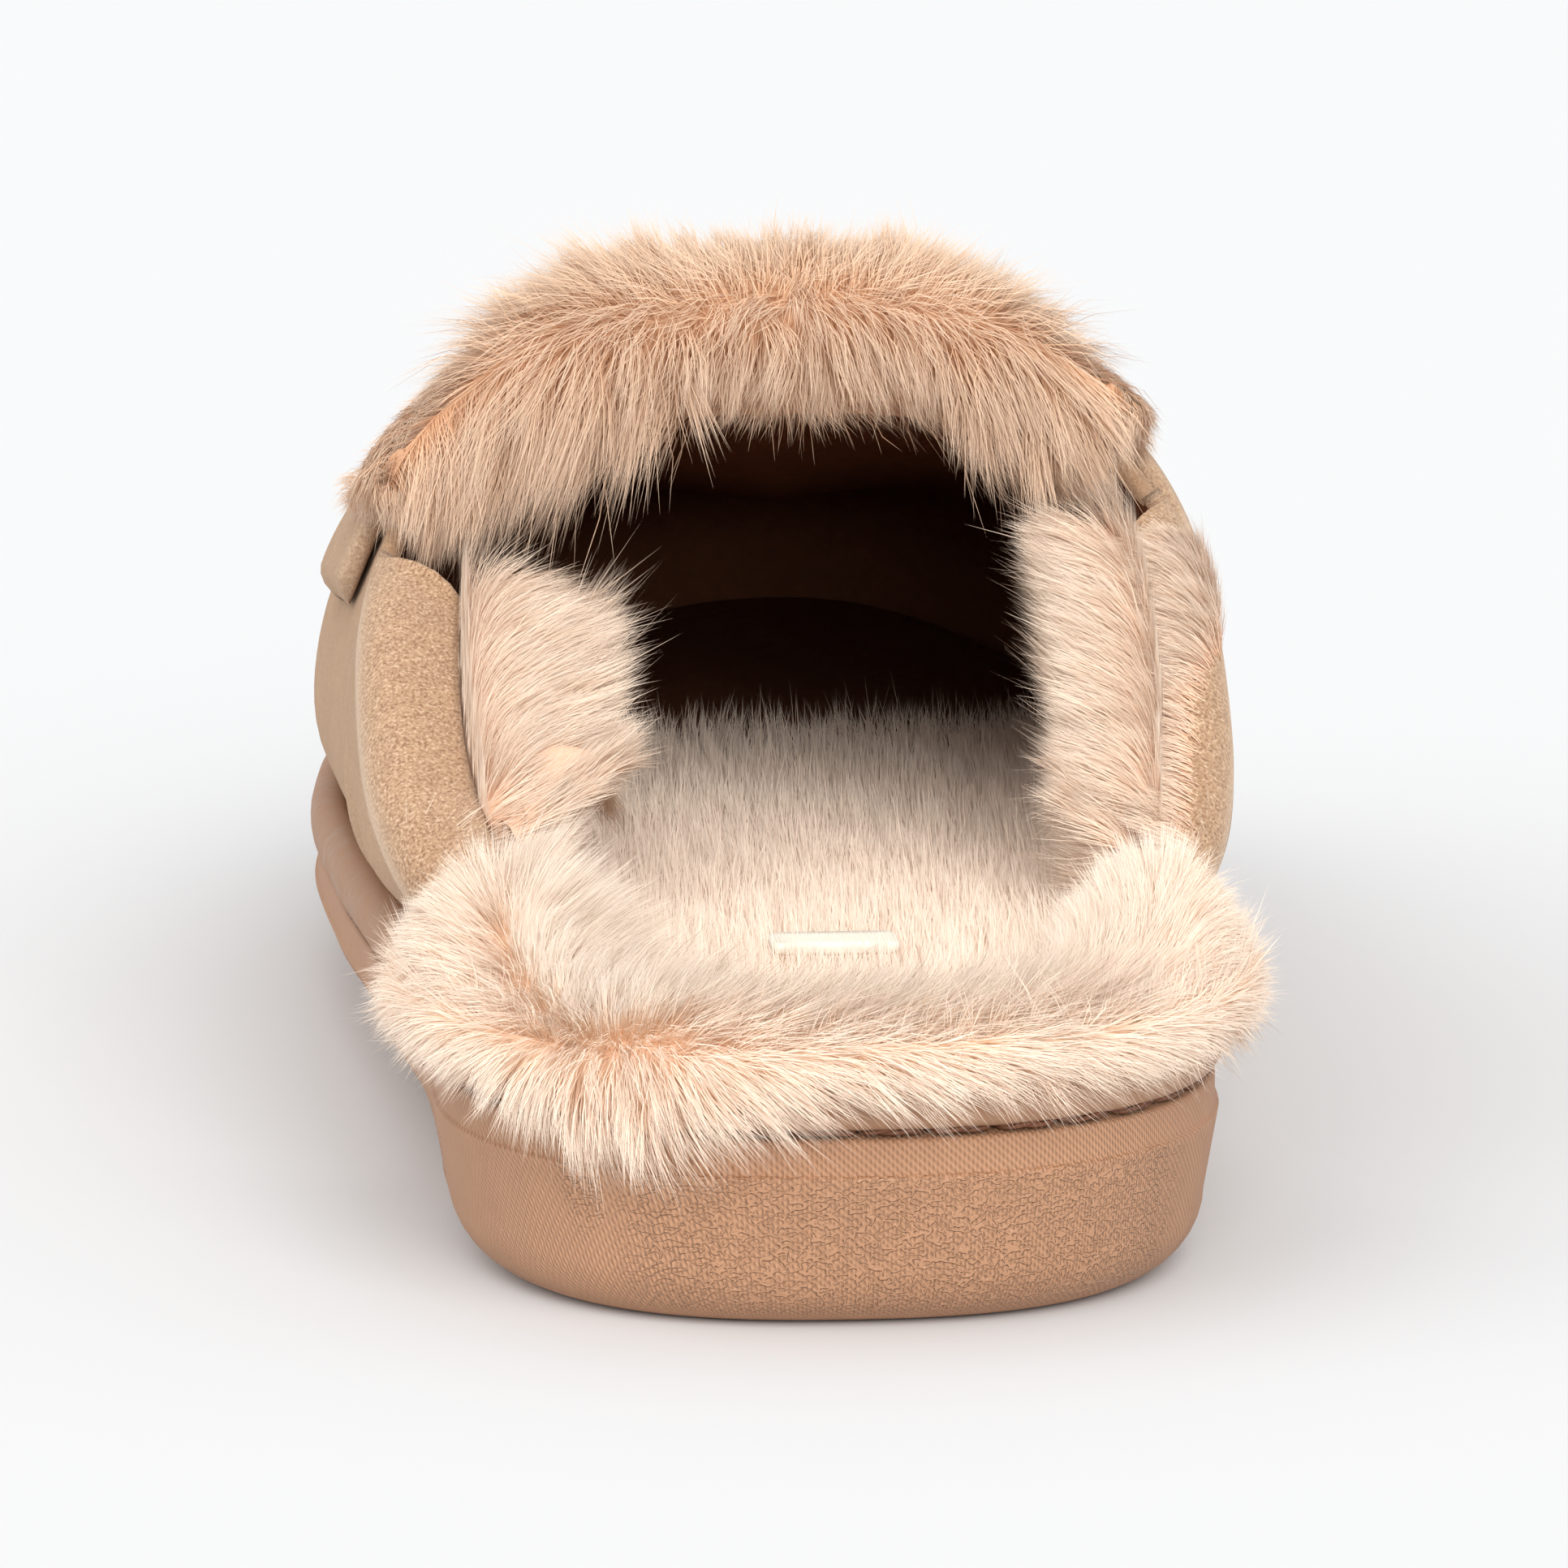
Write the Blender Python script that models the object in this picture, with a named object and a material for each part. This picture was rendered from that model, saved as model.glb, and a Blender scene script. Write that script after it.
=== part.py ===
"""House slipper for the left foot: a moulded sole, a stitched welt, a padded insole, a hollow suede
upper with a turned-in collar, an instep strap and rolls of deep pile at the cuff, quarters and heel.

The heel axis runs along +Y with the toe at the far end, +X is the inner side of the foot and +Z is
up. Sizes are millimetres; MM turns them into metres when a mesh is made. A station is the distance
along the heel axis from the back of the sole.
"""

import math
from collections import namedtuple

import bmesh
import bpy
import numpy as np

MM = 0.001

# Sole: length, the rounded ends of its outline, lower edge, flare of the wall and the smooth band
# that stands a step proud under the stitched groove.
SOLE_LENGTH = 262.0
HEEL_END = 40.0
HEEL_SQUARENESS = 2.4
TOE_END = 74.0
TOE_SQUARENESS = 2.15
EDGE_RADIUS = 7.0
WALL_FLARE = 1.0
BAND_HEIGHT = 3.6
BAND_STEP = 0.4
BAND_ROUND = 0.7
GROOVE_DEPTH = 1.8
SIDE_STEPS = 40
EDGE_STEPS = 5

# One row per station of the sole. Swing is the shift of the middle towards the inner side, spring
# the height of the underside and wall_top the height of the stitched groove.
SoleRow = namedtuple("SoleRow", "station half_width swing spring wall_top")
SOLE_ROWS = (
    SoleRow(0.0, 36.8, 0.0, 0.0, 19.3),
    SoleRow(40.0, 37.0, 0.0, 0.0, 19.2),
    SoleRow(72.0, 39.6, 0.0, 0.0, 18.8),
    SoleRow(98.0, 42.4, 0.3, 1.4, 18.4),
    SoleRow(128.0, 45.6, 1.0, 0.0, 18.0),
    SoleRow(172.0, 48.6, 2.6, 0.0, 17.6),
    SoleRow(196.0, 48.6, 4.4, 0.3, 17.8),
    SoleRow(230.0, 45.5, 7.6, 3.8, 20.2),
    SoleRow(262.0, 41.0, 11.5, 9.4, 24.6),
)

# Sunk bars of the tread: where they lie, how wide and deep they are and how far inside the edge.
TREAD_STATIONS = (20.0, 34.0, 48.0, 138.0, 152.0, 166.0, 180.0)
TREAD_WIDTH = 3.4
TREAD_DEPTH = 1.8
TREAD_MARGIN = 12.0
TREAD_BELOW = 3.0

# Gap between neighbouring pieces.
GAP = 0.35

# Locks of pile: mean share of a row's lock length, and how far and how fast it varies lock by lock.
LOCK_MEAN = 0.72
LOCK_SWING = 0.28
LOCK_TURN = 2.4

# Welt section, from the lower outer corner round to the lower inner corner: out from the sole's
# outline and up from the stitched groove.
WeltRow = namedtuple("WeltRow", "out rise")
WELT_HEIGHT = 5.8
WELT_ROWS = (
    WeltRow(0.2, GAP),
    WeltRow(1.7, 1.7),
    WeltRow(1.8, 3.8),
    WeltRow(0.6, 5.5),
    WeltRow(-1.0, WELT_HEIGHT),
    WeltRow(-2.2, 5.2),
    WeltRow(-2.2, GAP),
)

# Insole: set in from the outline, thick at the rim and dished in the middle.
INSOLE_INSET = 6.0
INSOLE_THICK = 6.6
INSOLE_DISH = 1.2
INSOLE_EDGE = 2.0
INSOLE_SLOPE = 12.0

# Upper: a half-arch on each side from the welt to the ridge line over the foot. The bulge is how far
# the wall stands out over the welt: it grows within its height and fades towards the ridge.
WALL = 2.2
UPPER_INSET = 2.9
FULLNESS = 0.64
REAR = 54.0
QUARTER_END = 100.0
THROAT = 112.0
RIDGE_END = 226.0
BULGE_HEIGHT = 5.0
BULGE_ONSET = 1.4
BULGE_FADE = 0.7
WALL_STEPS = 11
WALL_SPREAD = 1.2
QUARTER_COLUMNS = 9
THROAT_COLUMNS = 8
VAMP_COLUMNS = 16

# Small steps along the foot and up a column that measure the slope of the upper's face.
STATION_STEP = 0.6
ANGLE_STEP = 0.01

# One row per station of the ridge: its height, its shift to the inner side and how far the side
# walls stand out over the welt.
RidgeRow = namedtuple("RidgeRow", "station height shift bulge")
RIDGE_ROWS = (
    RidgeRow(48.0, 128.0, 0.0, 6.0),
    RidgeRow(70.0, 106.0, 0.5, 8.0),
    RidgeRow(86.0, 92.0, 1.2, 7.6),
    RidgeRow(100.0, 83.0, 2.0, 6.6),
    RidgeRow(112.0, 78.5, 2.2, 5.6),
    RidgeRow(130.0, 75.0, 3.0, 5.2),
    RidgeRow(155.0, 68.0, 4.4, 5.0),
    RidgeRow(185.0, 57.5, 6.4, 4.6),
    RidgeRow(208.0, 52.0, 8.0, 4.4),
    RidgeRow(226.0, 50.6, 9.4, 4.2),
)

# Height of the collar edge of the two quarters.
QuarterRow = namedtuple("QuarterRow", "station lateral medial")
QUARTER_ROWS = (
    QuarterRow(54.0, 28.5, 28.5),
    QuarterRow(60.0, 34.5, 35.5),
    QuarterRow(72.0, 42.5, 45.0),
    QuarterRow(86.0, 51.5, 56.5),
    QuarterRow(100.0, 59.0, 65.0),
)

# Collar edge turned in: fold radius, turn and flat end, fading out under the cuff.
FOLD_RADIUS = 4.6
FOLD_TURN = math.radians(98.0)
FOLD_FLAT_LATERAL = 5.0
FOLD_FLAT_MEDIAL = 2.0
FOLD_STEPS = 4
FOLD_FADE_FROM = 84.0
FOLD_FADE_TO = 98.0
FOLD_LEAST = 0.12

# Instep strap: where it lies along the foot, the heights of its two ends, and its section from the
# rear edge to the front edge as shares of its width and thickness.
StrapRow = namedtuple("StrapRow", "width thick")
STRAP_ROWS = (
    StrapRow(0.0, 0.6),
    StrapRow(0.10, 1.0),
    StrapRow(0.5, 1.0),
    StrapRow(0.90, 1.0),
    StrapRow(1.0, 0.6),
)
STRAP_REAR = 113.5
STRAP_FRONT = 150.0
STRAP_THICK = 2.8
STRAP_END_LATERAL = 52.0
STRAP_END_MEDIAL = 55.0
STRAP_END_ROUND = 0.42
STRAP_END_THIN = 0.35
STRAP_STEPS = 24

# Cuff section round the throat edge: back is along the foot from the throat edge, lift is off the
# outer face of the upper. The roll clasps the edge between its over and under faces; its lift and
# depth change towards the sides.
CUFF_EDGE = -1.9
CUFF_OVER = 4.4
CUFF_UNDER = -4.4
CuffRow = namedtuple("CuffRow", "back lift lock")
CUFF_ROWS = (
    CuffRow(14.0, CUFF_OVER, 0.0),
    CuffRow(14.0, 7.6, 2.6),
    CuffRow(9.0, 10.8, 3.0),
    CuffRow(1.5, 12.0, 3.0),
    CuffRow(-6.0, 11.0, 3.0),
    CuffRow(-11.5, 7.0, 3.0),
    CuffRow(-13.5, 1.0, 3.0),
    CuffRow(-11.5, -5.6, 3.0),
    CuffRow(-6.0, -9.6, 2.6),
    CuffRow(1.0, -9.8, 0.0),
    CuffRow(6.0, -7.0, 0.0),
    CuffRow(5.4, CUFF_UNDER, 0.0),
    CuffRow(CUFF_EDGE, CUFF_UNDER, 0.0),
    CuffRow(CUFF_EDGE, CUFF_OVER, 0.0),
)
CUFF_CLEAR = 0.05
CUFF_END_LATERAL = 63.0
CUFF_END_MEDIAL = 69.0
CUFF_STEPS = 28
CUFF_LEAST = 0.34
CUFF_SIDE_LIFT = 0.06
CUFF_SIDE_DEPTH = 0.5

# Pile pads inside the quarters. Fall is the share of the height below the collar edge, or, where it
# is negative, millimetres past the edge; reach is the share of the pad's thickness.
PadRow = namedtuple("PadRow", "fall reach lock")
PAD_ROWS = (
    PadRow(0.03, 0.0, 0.0),
    PadRow(0.03, 0.58, 0.0),
    PadRow(-4.6, 0.70, 2.4),
    PadRow(-3.0, 0.94, 2.8),
    PadRow(0.24, 1.0, 2.8),
    PadRow(0.50, 0.95, 2.6),
    PadRow(0.78, 0.80, 2.2),
    PadRow(1.0, 0.50, 0.0),
    PadRow(1.0, 0.0, 0.0),
    PadRow(0.5, 0.0, 0.0),
)
PAD_FROM = 61.0
PAD_TO = 96.0
PAD_THICK_LATERAL = 22.0
PAD_THICK_MEDIAL = 16.5
PAD_LEAST = 0.93
PAD_FLOOR = 0.9
PAD_CREST_DROP = 0.7
PAD_STEPS = 8

# Heel collar section: out from the sole's outline and rise from its seat on welt and insole, which
# is level. Towards its ends the roll shrinks to a least share about its centre line.
RollRow = namedtuple("RollRow", "out rise lock")
ROLL_ROWS = (
    RollRow(2.6, -6.4, 0.0),
    RollRow(5.0, -3.6, 2.4),
    RollRow(6.0, 0.8, 2.8),
    RollRow(5.0, 4.0, 2.8),
    RollRow(1.2, 6.0, 2.6),
    RollRow(-5.0, 6.2, 2.4),
    RollRow(-10.8, 4.4, 2.4),
    RollRow(-15.0, 1.8, 2.0),
    RollRow(-14.4, 0.0, 0.0),
    RollRow(-6.0, 0.0, 0.0),
    RollRow(2.5, 0.0, 0.0),
)
ROLL_END = 47.0
ROLL_STEPS = 30
ROLL_LEAST = 0.34
ROLL_CENTRE = -4.0
ROLL_END_LIFT = 2.1
ROLL_SIDE_OUT = 1.6
ROLL_SIDE_FROM = 4.0
ROLL_LATERAL_HANG = 0.4
ROLL_HANG_FROM = 0.75
ROLL_SEAT_STATION = 20.0

Finish = namedtuple("Finish", "red green blue roughness")
FINISHES = {
    "outsole": Finish(0.46, 0.27, 0.17, 0.52),
    "welt": Finish(0.47, 0.29, 0.19, 0.46),
    "insole": Finish(0.78, 0.62, 0.50, 0.95),
    "upper": Finish(0.56, 0.37, 0.23, 0.92),
    "instep_strap": Finish(0.56, 0.37, 0.23, 0.92),
    "cuff_fur": Finish(0.68, 0.50, 0.37, 0.95),
    "lining_lateral": Finish(0.72, 0.56, 0.43, 0.95),
    "lining_medial": Finish(0.72, 0.56, 0.43, 0.95),
    "heel_collar_fur": Finish(0.74, 0.58, 0.45, 0.95),
}


def through(rows, column, station):
    """Smooth curve through one column of a table, level wherever the rows turn or stay level."""
    xs = np.array([row.station for row in rows], dtype=float)
    ys = np.array([getattr(row, column) for row in rows], dtype=float)
    steps = np.diff(xs)
    rises = np.diff(ys) / steps
    slopes = np.zeros_like(ys)
    slopes[0] = rises[0]
    slopes[-1] = rises[-1]
    product = rises[:-1] * rises[1:]
    total = rises[:-1] + rises[1:]
    safe = np.where(product > 0.0, total, 1.0)
    slopes[1:-1] = np.where(product > 0.0, 2.0 * product / safe, 0.0)
    at = np.clip(np.asarray(station, dtype=float), xs[0], xs[-1])
    cell = np.clip(np.searchsorted(xs, at, side="right") - 1, 0, len(xs) - 2)
    t = (at - xs[cell]) / steps[cell]
    start = (1.0 + 2.0 * t) * (1.0 - t) ** 2 * ys[cell]
    start_slope = t * (1.0 - t) ** 2 * steps[cell] * slopes[cell]
    end = t * t * (3.0 - 2.0 * t) * ys[cell + 1]
    end_slope = t * t * (t - 1.0) * steps[cell] * slopes[cell + 1]
    return start + start_slope + end + end_slope


def unit(vectors):
    """Vectors scaled to length one."""
    return vectors / np.linalg.norm(vectors, axis=-1, keepdims=True)


def blend(low, high, value):
    """0 below low, 1 above high and a smooth step between."""
    t = np.clip((value - low) / (high - low), 0.0, 1.0)
    return t * t * (3.0 - 2.0 * t)


def half_width(station):
    """Half width of the sole, closed at heel and toe by rounded ends."""
    heel = np.clip(1.0 - station / HEEL_END, 0.0, 1.0)
    toe = np.clip(1.0 - (SOLE_LENGTH - station) / TOE_END, 0.0, 1.0)
    heel_share = (1.0 - heel**HEEL_SQUARENESS) ** (1.0 / HEEL_SQUARENESS)
    toe_share = (1.0 - toe**TOE_SQUARENESS) ** (1.0 / TOE_SQUARENESS)
    return through(SOLE_ROWS, "half_width", station) * heel_share * toe_share


def dense_outline(count):
    """Closed outline in plan, from the heel up the inner side to the toe and back, with normals."""
    turn = np.linspace(0.0, math.pi, count + 1)
    station = SOLE_LENGTH * (1.0 - np.cos(turn)) / 2.0
    middle = through(SOLE_ROWS, "swing", station)
    half = half_width(station)
    medial = np.stack([middle + half, station], axis=1)
    lateral = np.stack([middle - half, station], axis=1)
    loop = np.concatenate([medial, lateral[-2:0:-1]])
    ahead = np.roll(loop, -1, axis=0)
    behind = np.roll(loop, 1, axis=0)
    tangent = unit(ahead - behind)
    normal = np.stack([tangent[:, 1], -tangent[:, 0]], axis=1)
    return loop, normal


DENSE_STEPS = 900
LOOP, LOOP_NORMAL = dense_outline(DENSE_STEPS)


def side_line(side):
    """Outline of one side from heel to toe: points, normals and length run so far."""
    if side > 0:
        index = np.arange(DENSE_STEPS + 1)
    else:
        index = (-np.arange(DENSE_STEPS + 1)) % len(LOOP)
    points = LOOP[index]
    normals = LOOP_NORMAL[index]
    run = np.concatenate([[0.0], np.cumsum(np.linalg.norm(np.diff(points, axis=0), axis=1))])
    return points, normals, run


SIDES = {1: side_line(1), -1: side_line(-1)}


def pick(line, key, wanted):
    """Points and normals of a side line where its key reaches the wanted values."""
    points, normals, _ = line
    px = np.interp(wanted, key, points[:, 0])
    py = np.interp(wanted, key, points[:, 1])
    nx = np.interp(wanted, key, normals[:, 0])
    ny = np.interp(wanted, key, normals[:, 1])
    return px, py, nx, ny


def even_outline():
    """Outline with evenly spaced points; point j and point count - j face each other."""
    parts = []
    for side in (1, -1):
        line = SIDES[side]
        run = line[2]
        wanted = np.linspace(0.0, run[-1], SIDE_STEPS + 1)
        parts.append(np.stack(pick(line, run, wanted), axis=1))
    rows = np.concatenate([parts[0], parts[1][-2:0:-1]])
    return rows[:, :2], unit(rows[:, 2:])


OUTLINE, OUTLINE_NORMAL = even_outline()
OUTLINE_FLOOR = through(SOLE_ROWS, "spring", OUTLINE[:, 1])
OUTLINE_TOP = through(SOLE_ROWS, "wall_top", OUTLINE[:, 1])


def ring(out, height):
    """The outline moved out by a distance, at the given heights."""
    plan = OUTLINE + OUTLINE_NORMAL * out
    return np.column_stack([plan, np.broadcast_to(height, len(plan))])


def clear_scene():
    """Start from an empty scene."""
    for thing in list(bpy.data.objects):
        bpy.data.objects.remove(thing, do_unlink=True)


def finish_of(name):
    """The piece's own surface."""
    finish = FINISHES[name]
    material = bpy.data.materials.new(name)
    material.use_nodes = True
    shader = material.node_tree.nodes["Principled BSDF"]
    shader.inputs["Base Color"].default_value = (finish.red, finish.green, finish.blue, 1.0)
    shader.inputs["Roughness"].default_value = finish.roughness
    shader.inputs["Metallic"].default_value = 0.0
    return material


def place(name, points, faces, locks=None):
    """Mesh object of a piece, with locks of pile raised on the faces that have a lock length."""
    bm = bmesh.new()
    verts = [bm.verts.new(point) for point in np.asarray(points, dtype=float) * MM]
    lock_faces = []
    for number, face in enumerate(faces):
        made = bm.faces.new([verts[index] for index in face])
        if locks is not None and locks[number] > 0.0:
            lock_faces.append((made, locks[number]))
    bmesh.ops.remove_doubles(bm, verts=bm.verts[:], dist=0.00001)
    for count, (face, length) in enumerate(lock_faces):
        if face.is_valid:
            face.normal_update()
            direction = face.normal.copy()
            raised = bmesh.ops.poke(bm, faces=[face])["verts"][0]
            share = LOCK_MEAN + LOCK_SWING * math.sin(LOCK_TURN * count)
            raised.co += direction * length * share * MM
    mesh = bpy.data.meshes.new(name)
    bm.to_mesh(mesh)
    bm.free()
    thing = bpy.data.objects.new(name, mesh)
    bpy.context.scene.collection.objects.link(thing)
    if name in FINISHES:
        mesh.materials.append(finish_of(name))
    return thing


def loop_faces(count, low, high):
    """Quads between two rings of the same closed loop."""
    faces = []
    for j in range(count):
        k = (j + 1) % count
        faces.append((low + j, low + k, high + k, high + j))
    return faces


def cap_faces(count, start):
    """Faces that close a ring, each joining points that face each other across the sole."""
    half = count // 2
    faces = [(start, start + 1, start + count - 1)]
    for j in range(1, half - 1):
        faces.append((start + j, start + j + 1, start + count - j - 1, start + count - j))
    faces.append((start + half - 1, start + half, start + half + 1))
    return faces


def stack_of_rings(rings):
    """Points and faces of a solid skinned over rings from the underside to the top."""
    count = len(rings[0])
    points = np.concatenate(rings)
    faces = [tuple(reversed(face)) for face in cap_faces(count, 0)]
    for level in range(len(rings) - 1):
        faces += loop_faces(count, level * count, (level + 1) * count)
    faces += cap_faces(count, (len(rings) - 1) * count)
    return points, faces


def make_outsole():
    """Sole unit: flat underside with sunk bars, rounded lower edge, flared wall, stepped groove."""
    rings = []
    for turn in np.linspace(0.0, math.pi / 2.0, EDGE_STEPS):
        inset = EDGE_RADIUS * (1.0 - math.sin(turn))
        rise = EDGE_RADIUS * (1.0 - math.cos(turn))
        rings.append(ring(-inset, OUTLINE_FLOOR + rise))
    rings.append(ring(WALL_FLARE - BAND_STEP, OUTLINE_TOP - BAND_HEIGHT - BAND_STEP))
    rings.append(ring(WALL_FLARE, OUTLINE_TOP - BAND_HEIGHT))
    rings.append(ring(WALL_FLARE, OUTLINE_TOP - 1.7 * BAND_ROUND))
    rings.append(ring(WALL_FLARE - BAND_ROUND, OUTLINE_TOP - 0.4 * BAND_ROUND))
    rings.append(ring(WALL_FLARE - GROOVE_DEPTH, OUTLINE_TOP))
    points, faces = stack_of_rings(rings)
    sole = place("outsole", points, faces)
    cutter = make_tread_cutter()
    cut = sole.modifiers.new("tread bars", "BOOLEAN")
    cut.operation = "DIFFERENCE"
    cut.solver = "EXACT"
    cut.object = cutter
    return sole, cutter


def make_tread_cutter():
    """Bars across the underside, clear of the edge, on the level parts of the sole."""
    points = []
    faces = []
    for station in TREAD_STATIONS:
        middle = float(through(SOLE_ROWS, "swing", station))
        reach = float(half_width(np.array(station))) - TREAD_MARGIN
        start = len(points)
        for level in (-TREAD_BELOW, TREAD_DEPTH):
            points.append((middle - reach, station - TREAD_WIDTH / 2.0, level))
            points.append((middle + reach, station - TREAD_WIDTH / 2.0, level))
            points.append((middle + reach, station + TREAD_WIDTH / 2.0, level))
            points.append((middle - reach, station + TREAD_WIDTH / 2.0, level))
        faces.append((start + 3, start + 2, start + 1, start))
        faces.append((start + 4, start + 5, start + 6, start + 7))
        faces += loop_faces(4, start, start + 4)
    cutter = place("tread_cutter", points, faces)
    cutter.hide_render = True
    cutter.display_type = "WIRE"
    return cutter


def make_welt():
    """Closed strip carried round the outline above the stitched groove."""
    rings = [ring(row.out, OUTLINE_TOP + row.rise) for row in WELT_ROWS]
    count = len(OUTLINE)
    faces = []
    for level in range(len(rings)):
        faces += loop_faces(count, level * count, ((level + 1) % len(rings)) * count)
    return place("welt", np.concatenate(rings), faces)


def make_insole():
    """Footbed with a rounded top edge and a dished middle."""
    top = OUTLINE_TOP + INSOLE_THICK
    rings = [
        ring(-INSOLE_INSET, OUTLINE_TOP + GAP),
        ring(-INSOLE_INSET, top - INSOLE_EDGE),
        ring(-INSOLE_INSET - INSOLE_EDGE, top),
        ring(-INSOLE_INSET - INSOLE_SLOPE, top - INSOLE_DISH),
    ]
    points, faces = stack_of_rings(rings)
    return place("insole", points, faces)


def feather(side, ridge_station):
    """Where the upper's column for a ridge station meets the sole, with the outline's normal."""
    line = SIDES[side]
    station = line[0][:, 1]
    run = line[2]
    span = RIDGE_END - THROAT
    past = np.clip(ridge_station - THROAT, 0.0, span)
    extra = run[-1] - np.interp(THROAT, station, run) - span
    beside = np.interp(np.minimum(ridge_station, THROAT), station, run)
    wanted = beside + past + extra * (past / span) ** 2
    px, py, nx, ny = pick(line, run, wanted)
    return px - nx * UPPER_INSET, py - ny * UPPER_INSET, nx, ny


def upper_surface(side, ridge_station, angle):
    """Outer face of the upper: a full half-arch from the welt (angle 0) to the ridge (a right angle),
    standing out over the welt by the bulge."""
    k = np.asarray(ridge_station, dtype=float)
    a = np.asarray(angle, dtype=float)
    bx, by, nx, ny = feather(side, k)
    foot = through(SOLE_ROWS, "wall_top", by) + GAP
    ridge_z = through(RIDGE_ROWS, "height", k)
    ridge_x = through(RIDGE_ROWS, "shift", k)
    bulge = through(RIDGE_ROWS, "bulge", k)
    sine = np.clip(np.sin(a), 0.0, 1.0)
    cosine = np.clip(np.cos(a), 0.0, 1.0)
    z = foot + (ridge_z - foot) * sine**FULLNESS
    pull = 1.0 - cosine**FULLNESS
    above = np.maximum(z - foot - WELT_HEIGHT, 0.0) / BULGE_HEIGHT
    out = bulge * (1.0 - np.exp(-(above**BULGE_ONSET))) * cosine**BULGE_FADE
    x = bx + (ridge_x - bx) * pull + nx * out
    y = by + (k - by) * pull + ny * out
    return np.stack(np.broadcast_arrays(x, y, z), axis=-1)


def upper_normal(side, ridge_station, angle):
    """Outward direction of the upper's face; on the ridge it lies in the plane of the foot."""
    k = np.asarray(ridge_station, dtype=float)
    a = np.asarray(angle, dtype=float)
    inner = np.clip(a, 2.0 * ANGLE_STEP, math.radians(88.0))
    ahead = k + STATION_STEP
    behind = k - STATION_STEP
    along = upper_surface(side, ahead, inner) - upper_surface(side, behind, inner)
    up = upper_surface(side, k, inner + ANGLE_STEP) - upper_surface(side, k, inner - ANGLE_STEP)
    normal = unit(np.cross(along, up) * side)
    rise = through(RIDGE_ROWS, "height", ahead) - through(RIDGE_ROWS, "height", behind)
    slope = rise / (2.0 * STATION_STEP)
    flat = np.stack(np.broadcast_arrays(0.0 * slope, -slope, 1.0 + 0.0 * slope), axis=-1)
    near = blend(math.radians(80.0), math.radians(90.0), a)[..., None]
    return unit(normal * (1.0 - near) + unit(flat) * near)


def angle_at_height(side, ridge_station, height):
    """Angle at which a column of the upper reaches a height."""
    _, by, _, _ = feather(side, ridge_station)
    foot = through(SOLE_ROWS, "wall_top", by) + GAP
    ridge = through(RIDGE_ROWS, "height", ridge_station)
    share = np.clip((height - foot) / (ridge - foot), 0.0, 1.0)
    return np.arcsin(share ** (1.0 / FULLNESS))


def column(side, ridge_station, low, high, shares):
    """Angles that divide a column of the upper, between two angles, at shares of its length."""
    ease = 0.5 - 0.5 * np.cos(np.linspace(0.0, math.pi, 241))
    angles = low + (high - low) * ease
    points = upper_surface(side, np.full_like(angles, ridge_station), angles)
    run = np.concatenate([[0.0], np.cumsum(np.linalg.norm(np.diff(points, axis=0), axis=1))])
    return np.interp(np.asarray(shares) * run[-1], run, angles), run[-1]


def collar_columns(side):
    """Ridge stations of the columns of one side and the angle where each column ends."""
    quarter = np.linspace(REAR, QUARTER_END, QUARTER_COLUMNS)
    name = "medial" if side > 0 else "lateral"
    heights = through(QUARTER_ROWS, name, quarter)
    ends = angle_at_height(side, quarter, heights)
    turn = np.linspace(0.0, math.pi / 2.0, THROAT_COLUMNS + 1)[1:]
    throat = QUARTER_END + (THROAT - QUARTER_END) * np.sin(turn)
    throat_ends = math.pi / 2.0 - (math.pi / 2.0 - ends[-1]) * np.cos(turn)
    vamp = np.linspace(THROAT, RIDGE_END, VAMP_COLUMNS + 1)[1:]
    stations = np.concatenate([quarter, throat, vamp])
    angles = np.concatenate([ends, throat_ends, np.full_like(vamp, math.pi / 2.0)])
    return stations, angles


def throat_edge(side, angle):
    """Station of the throat edge at an angle: a quarter ellipse from the quarter to the ridge."""
    name = "medial" if side > 0 else "lateral"
    height = through(QUARTER_ROWS, name, QUARTER_END)
    low = float(angle_at_height(side, np.array(QUARTER_END), height))
    share = min(1.0, max(0.0, (math.pi / 2.0 - angle) / (math.pi / 2.0 - low)))
    return QUARTER_END + (THROAT - QUARTER_END) * math.sqrt(1.0 - share * share)


def collar_frame(side, stations, ends):
    """Collar edge points with the outward direction and the direction that leaves the wall."""
    edge = upper_surface(side, stations, ends)
    normal = upper_normal(side, stations, ends)
    along = unit(np.gradient(edge, axis=0))
    leave = unit(np.cross(normal, along) * side)
    return edge, normal, leave


def fold_share(station):
    """How far the collar edge is turned in: full at the heel end, fading out under the cuff."""
    return 1.0 - (1.0 - FOLD_LEAST) * blend(FOLD_FADE_FROM, FOLD_FADE_TO, station)


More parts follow.
